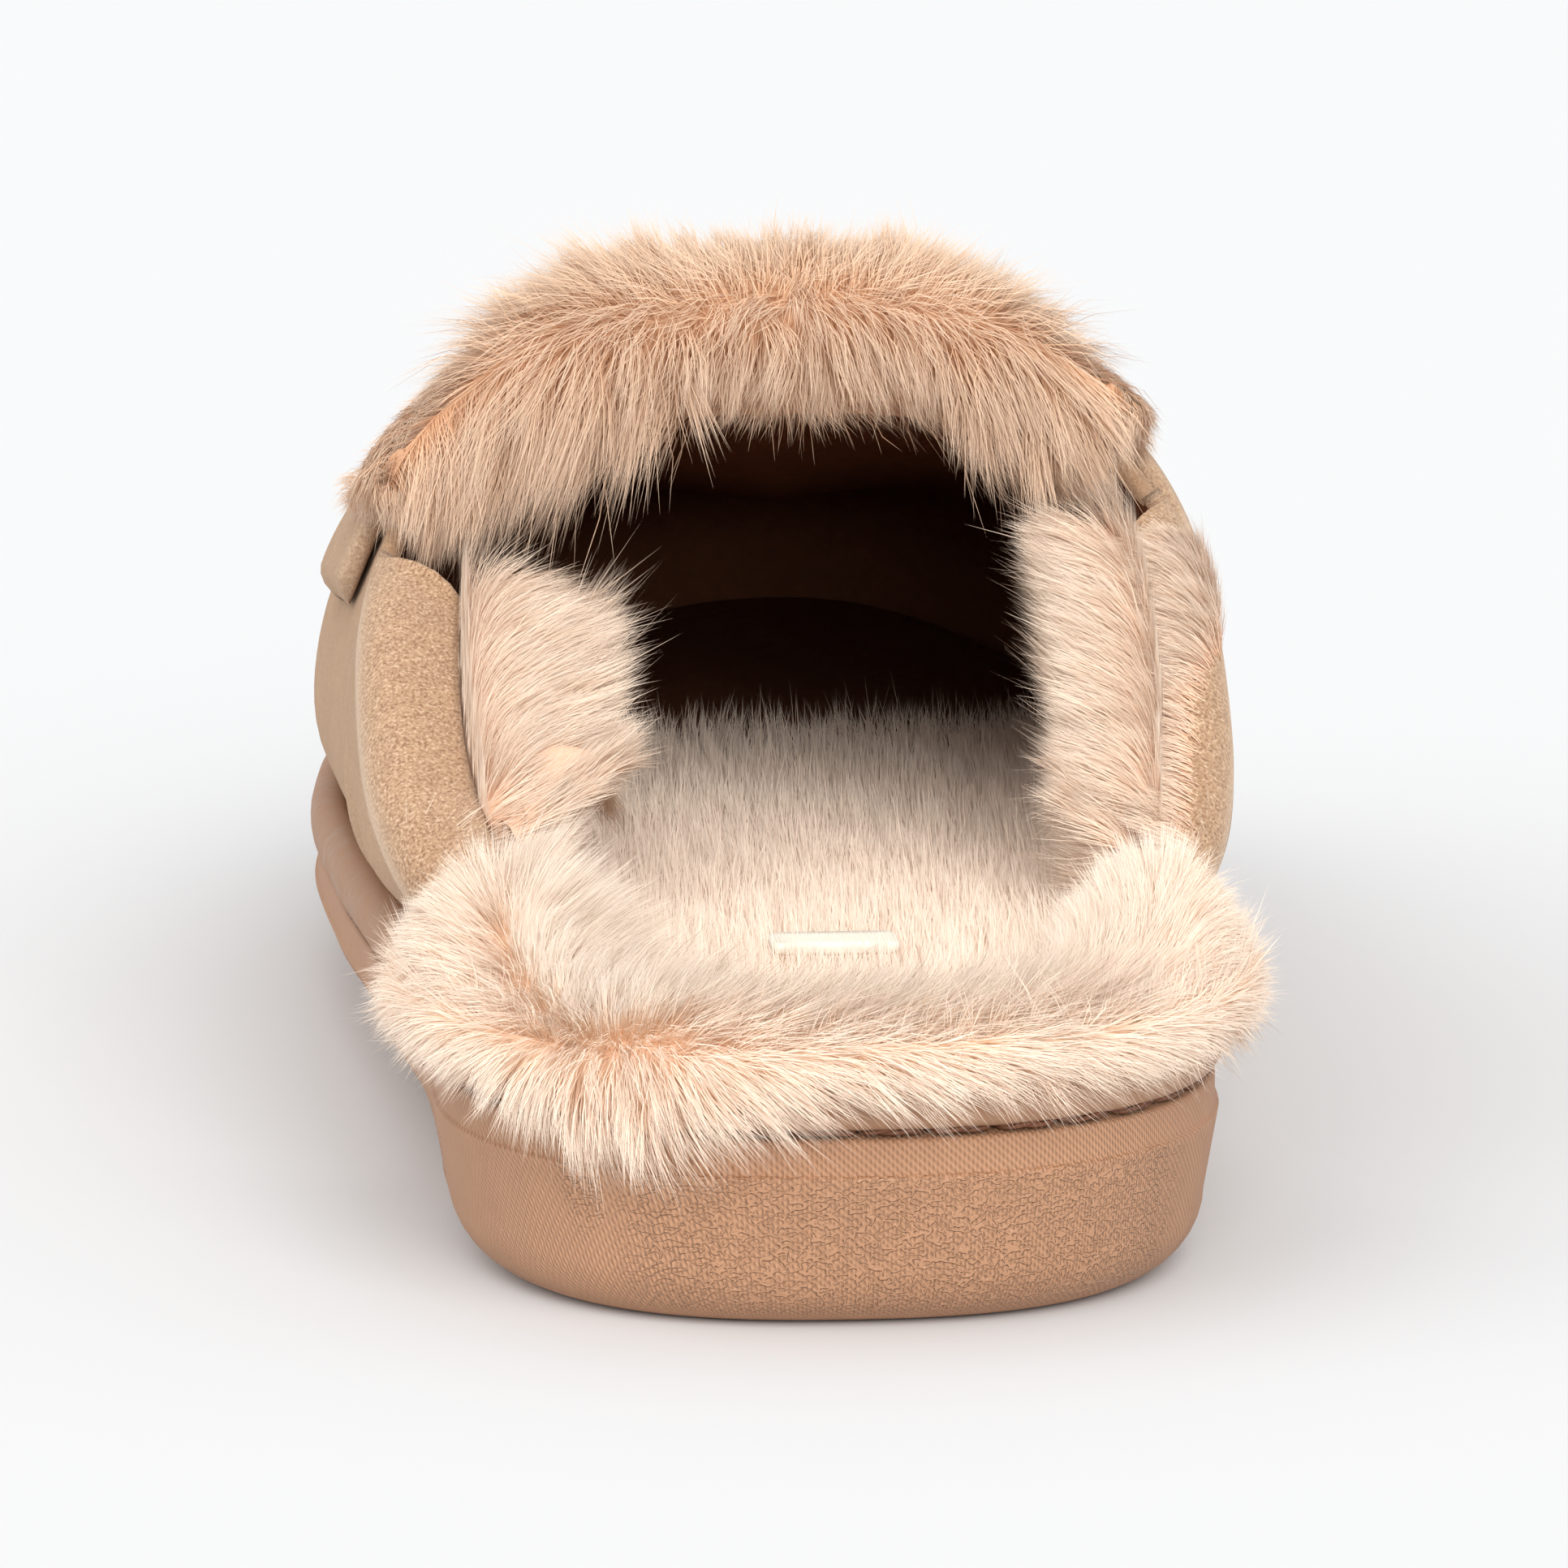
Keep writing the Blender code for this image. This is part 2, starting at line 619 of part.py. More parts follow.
def make_upper():
    """Hollow shell of even thickness, open at collar, heel and underneath, its collar turned in."""
    points = []
    faces = []
    shares = np.linspace(0.0, 1.0, WALL_STEPS + 1) ** WALL_SPREAD
    for side in (1, -1):
        stations, ends = collar_columns(side)
        start = len(points)
        height = WALL_STEPS + 1
        for station, end in zip(stations, ends):
            angles, _ = column(side, station, 0.0, end, shares)
            points += list(upper_surface(side, np.full_like(angles, station), angles))
        for c in range(len(stations) - 1):
            for r in range(WALL_STEPS):
                low = start + c * height + r
                face = (low, low + height, low + height + 1, low + 1)
                faces.append(face if side > 0 else tuple(reversed(face)))
        edge, normal, leave = collar_frame(side, stations, ends)
        fold = len(points)
        for c in range(QUARTER_COLUMNS):
            share = fold_share(stations[c])
            for step in range(1, FOLD_STEPS + 1):
                turn = FOLD_TURN * share * step / FOLD_STEPS
                out = FOLD_RADIUS * math.sin(turn)
                inward = FOLD_RADIUS * (1.0 - math.cos(turn))
                points.append(edge[c] + leave[c] * out - normal[c] * inward)
            heading = leave[c] * math.cos(turn) - normal[c] * math.sin(turn)
            flat = FOLD_FLAT_MEDIAL if side > 0 else FOLD_FLAT_LATERAL
            points.append(points[-1] + heading * flat * share)
        rows = FOLD_STEPS + 1
        for c in range(QUARTER_COLUMNS - 1):
            top = start + c * height + WALL_STEPS
            for r in range(rows):
                a = top if r == 0 else fold + c * rows + r - 1
                b = top + height if r == 0 else fold + (c + 1) * rows + r - 1
                face = (a, b, fold + (c + 1) * rows + r, fold + c * rows + r)
                faces.append(face if side > 0 else tuple(reversed(face)))
    upper = place("upper", points, faces)
    wall = upper.modifiers.new("wall", "SOLIDIFY")
    wall.thickness = WALL * MM
    wall.offset = -1.0
    wall.use_even_offset = True
    wall.use_rim = True
    return upper


def across(lateral_height, medial_height, station, steps):
    """Sides and angles of a path over the instep, evenly spaced, from lateral to medial end."""
    path = []
    for side, height in ((-1, lateral_height), (1, medial_height)):
        low = float(angle_at_height(side, np.array(station), height))
        shares = np.linspace(0.0, 1.0, steps // 2 + 1)
        angles, _ = column(side, station, low, math.pi / 2.0, shares)
        leg = [(side, angle) for angle in angles]
        path += leg if side < 0 else leg[-2::-1]
    return path


def station_at(side, angle, along):
    """Ridge station of the column that, at an angle, lies a wanted distance along the foot."""
    station = along
    for _ in range(6):
        station += along - float(upper_surface(side, station, angle)[1])
    return station


def make_strap():
    """Band that lies on the upper's own face across the instep, with rounded ends and edges."""
    path = across(STRAP_END_LATERAL, STRAP_END_MEDIAL, STRAP_REAR, STRAP_STEPS)
    count = len(path)
    middle = (STRAP_REAR + STRAP_FRONT) / 2.0
    half = (STRAP_FRONT - STRAP_REAR) / 2.0
    under = []
    over = []
    for number, (side, angle) in enumerate(path):
        end = abs(2.0 * number / (count - 1) - 1.0)
        narrow = 1.0 - STRAP_END_ROUND * end**14
        thin = 1.0 - STRAP_END_THIN * end**20
        for row in STRAP_ROWS:
            wanted = middle + half * narrow * (2.0 * row.width - 1.0)
            station = station_at(side, angle, wanted)
            face = upper_surface(side, station, angle)
            normal = upper_normal(side, station, angle)
            under.append(face + normal * GAP)
            over.append(face + normal * (GAP + STRAP_THICK * row.thick * thin))
    wide = len(STRAP_ROWS)
    points = under + over
    top = len(under)
    faces = []
    for c in range(count - 1):
        for r in range(wide - 1):
            low = c * wide + r
            faces.append((low, low + 1, low + wide + 1, low + wide))
            faces.append((top + low, top + low + wide, top + low + wide + 1, top + low + 1))
        edge = c * wide
        faces.append((edge, edge + wide, top + edge + wide, top + edge))
        edge = c * wide + wide - 1
        faces.append((edge + wide, edge, top + edge, top + edge + wide))
    for r in range(wide - 1):
        faces.append((r + 1, r, top + r, top + r + 1))
        last = (count - 1) * wide + r
        faces.append((last, last + 1, top + last + 1, top + last))
    return place("instep_strap", points, faces)


def tube_faces(sections, size, lock_lengths, tall=None):
    """Faces and lock lengths of a closed section carried along a path, closed at both ends."""
    faces = []
    locks = []
    tall = tall or [1.0] * sections
    for s in range(sections - 1):
        for p in range(size):
            q = (p + 1) % size
            low = s * size
            faces.append((low + p, low + size + p, low + size + q, low + q))
            locks.append(lock_lengths[p] * (tall[s] + tall[s + 1]) / 2.0)
    faces.append(tuple(range(size)))
    locks.append(0.0)
    last = (sections - 1) * size
    faces.append(tuple(last + p for p in reversed(range(size))))
    locks.append(0.0)
    return faces, locks


def face_locks(rows):
    """Lock length of the face between each row and the next: raised only where both rows have one."""
    lengths = []
    for number, row in enumerate(rows):
        after = rows[(number + 1) % len(rows)]
        lengths.append(min(row.lock, after.lock))
    return lengths


def make_cuff():
    """Roll that clasps the throat edge, over the strap outside and under the vamp inside."""
    path = across(CUFF_END_LATERAL, CUFF_END_MEDIAL, THROAT, CUFF_STEPS)
    points = []
    tall = []
    for number, (side, angle) in enumerate(path):
        end = abs(2.0 * number / (len(path) - 1) - 1.0)
        full = CUFF_LEAST + (1.0 - CUFF_LEAST) * math.sqrt(max(0.0, 1.0 - end**6))
        high = 1.0 - (1.0 - CUFF_SIDE_LIFT) * float(blend(0.35, 0.85, end))
        deep = full * (1.0 + CUFF_SIDE_DEPTH * float(blend(0.3, 0.7, end)))
        tall.append(min(full, 0.4 + 0.6 * high))
        for row in CUFF_ROWS:
            back = row.back
            lift = row.lift
            if back < CUFF_EDGE:
                back = CUFF_EDGE + (back - CUFF_EDGE) * full
            if lift > CUFF_OVER:
                lift = CUFF_OVER + (lift - CUFF_OVER) * high
            if lift < CUFF_UNDER:
                lift = CUFF_UNDER + (lift - CUFF_UNDER) * deep
            station = throat_edge(side, angle - CUFF_CLEAR) + back
            face = upper_surface(side, station, angle)
            points.append(face + upper_normal(side, station, angle) * lift)
    faces, locks = tube_faces(len(path), len(CUFF_ROWS), face_locks(CUFF_ROWS), tall)
    faces = [tuple(reversed(face)) for face in faces]
    return place("cuff_fur", points, faces, locks)


def make_lining(side):
    """Pile pad on the inside of a quarter, under and past its turned-in collar edge."""
    stations = np.linspace(PAD_FROM, PAD_TO, PAD_STEPS + 1)
    name = "medial" if side > 0 else "lateral"
    heights = through(QUARTER_ROWS, name, stations)
    ends = angle_at_height(side, stations, heights)
    edge, normal, leave = collar_frame(side, stations, ends)
    floor = through(SOLE_ROWS, "wall_top", stations) + INSOLE_THICK + PAD_FLOOR
    lows = angle_at_height(side, stations, floor)
    points = []
    for number, station in enumerate(stations):
        end = abs(2.0 * number / PAD_STEPS - 1.0)
        full = PAD_LEAST + (1.0 - PAD_LEAST) * math.sqrt(max(0.0, 1.0 - end**4))
        thick = (PAD_THICK_MEDIAL if side > 0 else PAD_THICK_LATERAL) * full
        crest = 1.0 - PAD_CREST_DROP * float(blend(0.7, 1.0, number / PAD_STEPS))
        for row in PAD_ROWS:
            depth = WALL + GAP + row.reach * thick
            if row.fall < 0.0:
                past = leave[number] * row.fall * crest
                points.append(edge[number] - past - normal[number] * depth)
            else:
                share = [1.0 - row.fall]
                angles, _ = column(side, station, lows[number], ends[number], share)
                face = upper_surface(side, station, angles[0])
                points.append(face - upper_normal(side, station, angles[0]) * depth)
    faces, locks = tube_faces(PAD_STEPS + 1, len(PAD_ROWS), face_locks(PAD_ROWS))
    if side < 0:
        faces = [tuple(reversed(face)) for face in faces]
    return place("lining_" + name, points, faces, locks)


def make_heel_collar():
    """Roll round the heel on welt and insole, hanging over the welt, with two raised ends."""
    run_in = np.interp(ROLL_END, SIDES[1][0][:, 1], SIDES[1][2])
    run_out = np.interp(ROLL_END, SIDES[-1][0][:, 1], SIDES[-1][2])
    points = []
    for q in np.linspace(-1.0, 1.0, ROLL_STEPS + 1):
        side = 1 if q >= 0.0 else -1
        line = SIDES[side]
        reach = run_in if side > 0 else run_out
        px, py, nx, ny = pick(line, line[2], abs(q) * reach)
        seat = float(through(SOLE_ROWS, "wall_top", ROLL_SEAT_STATION)) + INSOLE_THICK + GAP
        full = ROLL_LEAST + (1.0 - ROLL_LEAST) * math.sqrt(max(0.0, 1.0 - abs(q) ** 6))
        lift = 1.0 + (ROLL_END_LIFT - 1.0) * float(blend(0.35, 0.85, abs(q)))
        wide = ROLL_SIDE_OUT * float(blend(0.15, 0.6, -q))
        hang = 1.0 + ROLL_LATERAL_HANG * float(blend(0.05, 0.35, -q))
        for row in ROLL_ROWS:
            out = ROLL_CENTRE + (row.out - ROLL_CENTRE) * full
            if row.out > ROLL_SIDE_FROM:
                out += wide * full
            if row.rise > 0.0:
                rise = row.rise * lift * full
            else:
                rise = row.rise * hang * max(0.0, (full - ROLL_HANG_FROM) / (1.0 - ROLL_HANG_FROM))
                out = max(out, row.out) if rise < 0.0 else out
            points.append((px + nx * out, py + ny * out, seat + rise))
    faces, locks = tube_faces(ROLL_STEPS + 1, len(ROLL_ROWS), face_locks(ROLL_ROWS))
    return place("heel_collar_fur", points, faces, locks)


def settle(things):
    """Parent the pieces to an empty that puts the middle of the box's underside at the origin."""
    bpy.context.view_layer.update()
    graph = bpy.context.evaluated_depsgraph_get()
    low = np.full(3, np.inf)
    high = np.full(3, -np.inf)
    for thing in things:
        mesh = thing.evaluated_get(graph).to_mesh()
        places = np.empty(len(mesh.vertices) * 3)
        mesh.vertices.foreach_get("co", places)
        places = places.reshape(-1, 3)
        low = np.minimum(low, places.min(axis=0))
        high = np.maximum(high, places.max(axis=0))
        count = sum(len(face.vertices) - 2 for face in mesh.polygons)
        print(thing.name, count, "triangles", places.min(axis=0), places.max(axis=0))
    origin = bpy.data.objects.new("slipper_origin", None)
    bpy.context.scene.collection.objects.link(origin)
    middle = (low + high) / 2.0
    origin.location = (-middle[0], -middle[1], -low[2])
    print("box", low, high, "moved by", tuple(origin.location))
    return origin


clear_scene()
outsole, tread_cutter = make_outsole()
pieces = [
    outsole,
    make_welt(),
    make_insole(),
    make_upper(),
    make_strap(),
    make_cuff(),
    make_lining(-1),
    make_lining(1),
    make_heel_collar(),
]
anchor = settle(pieces)
for piece in pieces + [tread_cutter]:
    piece.parent = anchor
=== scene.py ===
# %% [markdown]
# # A pile-lined house slipper
# The imported model already holds a slipper for the left foot: sole, welt, insole, suede upper, strap
# and solid bodies where the deep pile goes. This lesson dresses it for a photograph taken from behind
# the heel. The frame is loaded first, because the place of its sole sets where every size below goes.

# %% Load the imported frame
import math
from collections import namedtuple

import bmesh
import bpy
import numpy as np
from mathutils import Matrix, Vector

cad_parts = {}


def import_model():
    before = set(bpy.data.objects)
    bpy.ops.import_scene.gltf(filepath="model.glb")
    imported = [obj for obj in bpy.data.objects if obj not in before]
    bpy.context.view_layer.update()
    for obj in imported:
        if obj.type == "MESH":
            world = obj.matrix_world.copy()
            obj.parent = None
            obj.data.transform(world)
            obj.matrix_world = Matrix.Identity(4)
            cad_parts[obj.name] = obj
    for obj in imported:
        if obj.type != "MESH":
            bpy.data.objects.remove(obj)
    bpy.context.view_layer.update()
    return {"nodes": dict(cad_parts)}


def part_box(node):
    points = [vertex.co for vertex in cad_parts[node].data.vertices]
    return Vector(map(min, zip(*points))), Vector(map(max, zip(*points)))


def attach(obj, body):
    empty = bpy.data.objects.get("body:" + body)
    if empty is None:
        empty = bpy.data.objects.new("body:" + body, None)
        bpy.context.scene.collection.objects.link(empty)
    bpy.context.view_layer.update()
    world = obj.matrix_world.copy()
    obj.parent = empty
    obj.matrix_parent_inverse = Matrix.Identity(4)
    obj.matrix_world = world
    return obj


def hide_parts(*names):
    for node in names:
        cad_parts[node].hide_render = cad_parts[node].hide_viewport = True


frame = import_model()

print("nodes:", ", ".join(sorted(frame["nodes"])))

# %% [markdown]
# ## Sizes
# A shoemaker works from a last, so the slipper is described along its heel axis: a station is the
# distance from the back of the sole in millimetres, +X is the inner side of the foot and +Z is up.
# Each table has one row per station, and a smooth curve through a column gives every place between.
# A drawn curve in the viewport could do the same, but a table keeps the sizes readable.

# %% Tables of the sole and the upper
MM = 0.001
GAP = 0.35
SOLE_LENGTH = 262.0
HEEL_END = 40.0
HEEL_SQUARENESS = 2.4
TOE_END = 74.0
TOE_SQUARENESS = 2.15
WALL_FLARE = 1.0

SoleRow = namedtuple("SoleRow", "station half_width swing spring wall_top")
SOLE_ROWS = (
    SoleRow(0.0, 36.8, 0.0, 0.0, 19.3),
    SoleRow(40.0, 37.0, 0.0, 0.0, 19.2),
    SoleRow(72.0, 39.6, 0.0, 0.0, 18.8),
    SoleRow(98.0, 42.4, 0.3, 1.4, 18.4),
    SoleRow(128.0, 45.6, 1.0, 0.0, 18.0),
    SoleRow(172.0, 48.6, 2.6, 0.0, 17.6),
    SoleRow(196.0, 48.6, 4.4, 0.3, 17.8),
    SoleRow(230.0, 45.5, 7.6, 3.8, 20.2),
    SoleRow(262.0, 41.0, 11.5, 9.4, 24.6),
)

RidgeRow = namedtuple("RidgeRow", "station height shift bulge")
RIDGE_ROWS = (
    RidgeRow(48.0, 128.0, 0.0, 6.0),
    RidgeRow(70.0, 106.0, 0.5, 8.0),
    RidgeRow(86.0, 92.0, 1.2, 7.6),
    RidgeRow(100.0, 83.0, 2.0, 6.6),
    RidgeRow(112.0, 78.5, 2.2, 5.6),
    RidgeRow(130.0, 75.0, 3.0, 5.2),
    RidgeRow(155.0, 68.0, 4.4, 5.0),
    RidgeRow(185.0, 57.5, 6.4, 4.6),
    RidgeRow(208.0, 52.0, 8.0, 4.4),
    RidgeRow(226.0, 50.6, 9.4, 4.2),
)

QuarterRow = namedtuple("QuarterRow", "station lateral medial")
QUARTER_ROWS = (
    QuarterRow(54.0, 28.5, 28.5),
    QuarterRow(60.0, 34.5, 35.5),
    QuarterRow(72.0, 42.5, 45.0),
    QuarterRow(86.0, 51.5, 56.5),
    QuarterRow(100.0, 59.0, 65.0),
)


# %% [markdown]
# A curve through a table has to meet every row without swinging past it, or the sole would bulge between
# two stations. Harmonic means of the neighbouring slopes do that, where a plain spline would not. Closed
# sections are smoothed by a Catmull-Rom curve.


# %% Smooth curves through the tables
def through(rows, column, station):
    """Hermite curve through one column of a table: slopes are harmonic means, level at each turn."""
    xs = np.array([row.station for row in rows], dtype=float)
    ys = np.array([getattr(row, column) for row in rows], dtype=float)
    steps = np.diff(xs)
    rises = np.diff(ys) / steps
    slopes = np.zeros_like(ys)
    slopes[0] = rises[0]
    slopes[-1] = rises[-1]
    product = rises[:-1] * rises[1:]
    safe = np.where(product > 0.0, rises[:-1] + rises[1:], 1.0)
    slopes[1:-1] = np.where(product > 0.0, 2.0 * product / safe, 0.0)
    at = np.clip(np.asarray(station, dtype=float), xs[0], xs[-1])
    cell = np.clip(np.searchsorted(xs, at, side="right") - 1, 0, len(xs) - 2)
    t = (at - xs[cell]) / steps[cell]
    start = (1.0 + 2.0 * t) * (1.0 - t) ** 2 * ys[cell]
    start_slope = t * (1.0 - t) ** 2 * steps[cell] * slopes[cell]
    end = t * t * (3.0 - 2.0 * t) * ys[cell + 1]
    end_slope = t * t * (t - 1.0) * steps[cell] * slopes[cell + 1]
    return start + start_slope + end + end_slope


def closed_curve(rows, count):
    """Catmull-Rom curve through the rows of an array (next-to-last axis), closed, in count steps."""
    size = rows.shape[-2]
    at = np.arange(count) * size / count
    cell = at.astype(int)
    t = (at - cell)[:, None]
    before, here, after, later = (np.take(rows, (cell + k) % size, axis=-2) for k in (-1, 0, 1, 2))
    bend = 2.0 * before - 5.0 * here + 4.0 * after - later
    twist = 3.0 * (here - after) + later - before
    return 0.5 * (2.0 * here + (after - before) * t + bend * t**2 + twist * t**3)


def unit(vectors):
    """Vectors divided by their length."""
    return vectors / np.maximum(np.linalg.norm(vectors, axis=-1, keepdims=True), 1e-9)


def vectors(x, y, z):
    """Three numbers side by side for every place, from arrays or single numbers of fitting shapes."""
    return np.stack(np.broadcast_arrays(x, y, z), axis=-1)


def between(first, second, share):
    """Rows of vectors mixed by a share for each row: 0 keeps the first, 1 gives the second."""
    return first * (1.0 - share)[:, None] + second * share[:, None]


def blend(low, high, value):
    """Smooth step: 0 below low, 1 above high, three t squared minus two t cubed between."""
    t = np.clip((value - low) / (high - low), 0.0, 1.0)
    return t * t * (3.0 - 2.0 * t)


print("half width of the sole at the ball:", through(SOLE_ROWS, "half_width", 180.0).round(2), "mm")


# %% [markdown]
# ## The outline of the sole
# The outline is the swing of the foot plus or minus a half width, closed at heel and toe by rounded
# ends. It is worked out densely once, and pieces pick evenly spaced points from it, so that sole,
# welt, stitches and upper all follow one line.


# %% Outline in plan
def half_width(station):
    """Half width of the sole times a superellipse share at each end."""
    heel = np.clip(1.0 - station / HEEL_END, 0.0, 1.0)
    toe = np.clip(1.0 - (SOLE_LENGTH - station) / TOE_END, 0.0, 1.0)
    heel_share = (1.0 - heel**HEEL_SQUARENESS) ** (1.0 / HEEL_SQUARENESS)
    toe_share = (1.0 - toe**TOE_SQUARENESS) ** (1.0 / TOE_SQUARENESS)
    return through(SOLE_ROWS, "half_width", station) * heel_share * toe_share


DENSE = 1800
dense_station = SOLE_LENGTH * (1.0 - np.cos(np.linspace(0.0, math.pi, DENSE + 1))) / 2.0
dense_middle = through(SOLE_ROWS, "swing", dense_station)
medial_line = np.stack([dense_middle + half_width(dense_station), dense_station], axis=1)
lateral_line = np.stack([dense_middle - half_width(dense_station), dense_station], axis=1)
LOOP = np.concatenate([medial_line, lateral_line[-2:0:-1]])
loop_tangent = unit(np.roll(LOOP, -1, axis=0) - np.roll(LOOP, 1, axis=0))
LOOP_NORMAL = np.stack([loop_tangent[:, 1], -loop_tangent[:, 0]], axis=1)

sole_low, sole_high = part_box("outsole")
shift_x = sole_high[0] / MM - LOOP[:, 0].max() - WALL_FLARE
SHIFT = np.array([shift_x, sole_low[1] / MM + WALL_FLARE, 0.0])
print("slipper millimetres move by", np.round(SHIFT, 2), "into the frame")


def world(points):
    """Slipper millimetres to metres in the frame."""
    return (np.asarray(points) + SHIFT) * MM


def side_line(side):
    """One side of the outline from heel to toe: points, normals and the length run so far."""
    index = (np.arange(DENSE + 1) * side) % len(LOOP)
    points = LOOP[index]
    run = np.concatenate([[0.0], np.cumsum(np.linalg.norm(np.diff(points, axis=0), axis=1))])
    return points, LOOP_NORMAL[index], run


SIDES = {1: side_line(1), -1: side_line(-1)}


def pick(line, key, wanted):
    """Points and normals of a side line where its key reaches the wanted values."""
    points, normals, _ = line
    return [np.interp(wanted, key, values) for values in (*points.T, *normals.T)]


def even_loop(count):
    """Closed outline with evenly spaced points, their normals and the whole length."""
    steps = np.linalg.norm(np.roll(LOOP, -1, axis=0) - LOOP, axis=1)
    run = np.concatenate([[0.0], np.cumsum(steps)])
    wanted = np.arange(count) * run[-1] / count
    values = np.concatenate([LOOP, LOOP_NORMAL], axis=1)
    values = np.concatenate([values, values[:1]])
    picked = np.stack([np.interp(wanted, run, column) for column in values.T], axis=1)
    return picked[:, :2], unit(picked[:, 2:]), run[-1]


# %% [markdown]
# ## From arrays to meshes
# Every new piece is a grid of points worked out by a formula. One helper turns a grid of point numbers
# into quads, and another writes points, faces and a flat map into a mesh in a few bulk calls, which is
# much quicker than adding faces one by one.


# %% Mesh helpers
def patch(index, places, flip=False):
    """Quads between neighbouring rows and columns of a grid of point numbers, with map places."""

    def corners(grid):
        """The four corners of every cell, in order round it."""
        around = (grid[:-1, :-1], grid[1:, :-1], grid[1:, 1:], grid[:-1, 1:])
        return np.stack(around, axis=2).reshape(-1, 4, *grid.shape[2:])

    faces = corners(index)
    spots = corners(places)
    if flip:
        faces = faces[:, ::-1]
        spots = spots[:, ::-1]
    return faces, spots


def flat_map(rows, columns, low=(0.0, 0.0), high=(1.0, 1.0)):
    """Evenly spaced places on the flat map for a grid."""
    u = np.linspace(low[0], high[0], rows)
    v = np.linspace(low[1], high[1], columns)
    return np.stack(np.meshgrid(u, v, indexing="ij"), axis=2)


def lay_mesh(name, points, patches, map_name="wrap"):
    """Mesh of points in slipper millimetres and a list of (faces, map places)."""
    mesh = bpy.data.meshes.new(name)
    corners = np.concatenate([faces.ravel() for faces, _ in patches]).astype(np.int32)
    sizes = np.concatenate([np.full(len(faces), faces.shape[1]) for faces, _ in patches])
    starts = np.concatenate([[0], np.cumsum(sizes)[:-1]]).astype(np.int32)
    mesh.vertices.add(len(points))
    mesh.vertices.foreach_set("co", world(points).astype(np.float32).ravel())
    mesh.loops.add(len(corners))
    mesh.loops.foreach_set("vertex_index", corners)
    mesh.polygons.add(len(sizes))
    mesh.polygons.foreach_set("loop_start", starts)
    mesh.update(calc_edges=True)
    layer = mesh.uv_layers.new(name=map_name)
    spots = np.concatenate([places.reshape(-1, 2) for _, places in patches])
    layer.data.foreach_set("uv", spots.astype(np.float32).ravel())
    mesh.shade_smooth()
    return mesh


def number_grid(points, start=0):
    """Point numbers from a start, in the rows and columns of a grid of points."""
    rows, columns = points.shape[:2]
    return start + np.arange(rows * columns).reshape(rows, columns)


def wrapped(index):
    """Grid of point numbers with its first column again at the end, so that it closes."""
    return np.concatenate([index, index[:, :1]], axis=1)


def weld(mesh, distance=0.01):
    """Join points that lie closer than a distance in millimetres, such as the two halves of a ridge."""
    bm = bmesh.new()
    bm.from_mesh(mesh)
    bmesh.ops.remove_doubles(bm, verts=bm.verts[:], dist=distance * MM)
    bm.to_mesh(mesh)
    bm.free()


def note(mesh, name, values):
    """A named number on every point, which a material can read."""
    made = mesh.attributes.new(name, "FLOAT", "POINT")
    made.data.foreach_set("value", np.asarray(values, dtype=np.float32).ravel())


def add_piece(name, mesh, materials, node=None):
    """Object at the origin that rides on the slipper, takes a finish slot and stands for a node."""
    piece = bpy.data.objects.new(name, mesh)
    bpy.context.scene.collection.objects.link(piece)
    for material in materials:
        mesh.materials.append(material)
    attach(piece, "root")
    if node:
        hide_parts(node)
    mesh.calc_loop_triangles()
    print(name, len(mesh.loop_triangles), "triangles")
    return piece


# %% [markdown]
# ## Camera and light
# The photograph is a long-lens picture from behind the heel, a little above it, with the shoe turned a
# few degrees. The camera's place was fitted to the sole's heel. A soft sky and three wide suns, a key
# from above behind the camera, a low one into the opening and a weak one from the left, light it evenly.

# %% Camera, sky and suns
VIEW_YAW = math.radians(4.4)
VIEW_PITCH = math.radians(10.0)
FOCAL_PIXELS = 9675.0
PHOTO_PIXELS = 1932.0
CAMERA_PLACE = (-61.7, -711.5, 178.3)
SENSOR = 36.0

camera_data = bpy.data.cameras.new("camera")
camera_data.sensor_width = SENSOR
camera_data.lens = SENSOR * FOCAL_PIXELS / PHOTO_PIXELS
camera = bpy.data.objects.new("camera", camera_data)
camera.location = world(CAMERA_PLACE)
level = math.cos(VIEW_PITCH)
view = Vector((math.sin(VIEW_YAW) * level, math.cos(VIEW_YAW) * level, -math.sin(VIEW_PITCH)))
camera.rotation_euler = view.to_track_quat("-Z", "Y").to_euler()
bpy.context.scene.collection.objects.link(camera)
bpy.context.scene.camera = camera
bpy.context.scene.view_settings.view_transform = "Standard"

SKY = 0.82
SunRow = namedtuple("SunRow", "name toward power width")
SUNS = (
    SunRow("key", (0.22, -1.0, 0.78), 1.65, 40.0),
    SunRow("low", (0.12, -1.0, 0.36), 0.9, 30.0),
    SunRow("left", (-1.0, -0.45, 0.7), 1.1, 70.0),
)
sky = bpy.data.worlds.new("studio")
sky.use_nodes = True
sky.node_tree.nodes["Background"].inputs["Color"].default_value = (1.0, 1.0, 1.0, 1.0)
sky.node_tree.nodes["Background"].inputs["Strength"].default_value = SKY
bpy.context.scene.world = sky
for row in SUNS:
    sun_data = bpy.data.lights.new(row.name, "SUN")
    sun_data.energy = row.power
    sun_data.angle = math.radians(row.width)
    sun = bpy.data.objects.new(row.name, sun_data)
    sun.rotation_euler = (-Vector(row.toward)).to_track_quat("-Z", "Y").to_euler()
    bpy.context.scene.collection.objects.link(sun)
print("lens", round(camera_data.lens, 1), "mm")


# %% [markdown]
# ## Node helpers
# Materials are built from a few small helpers: one adds a node and sets its inputs, and one makes a
# group with named sockets. A group holds an effect that several finishes share.


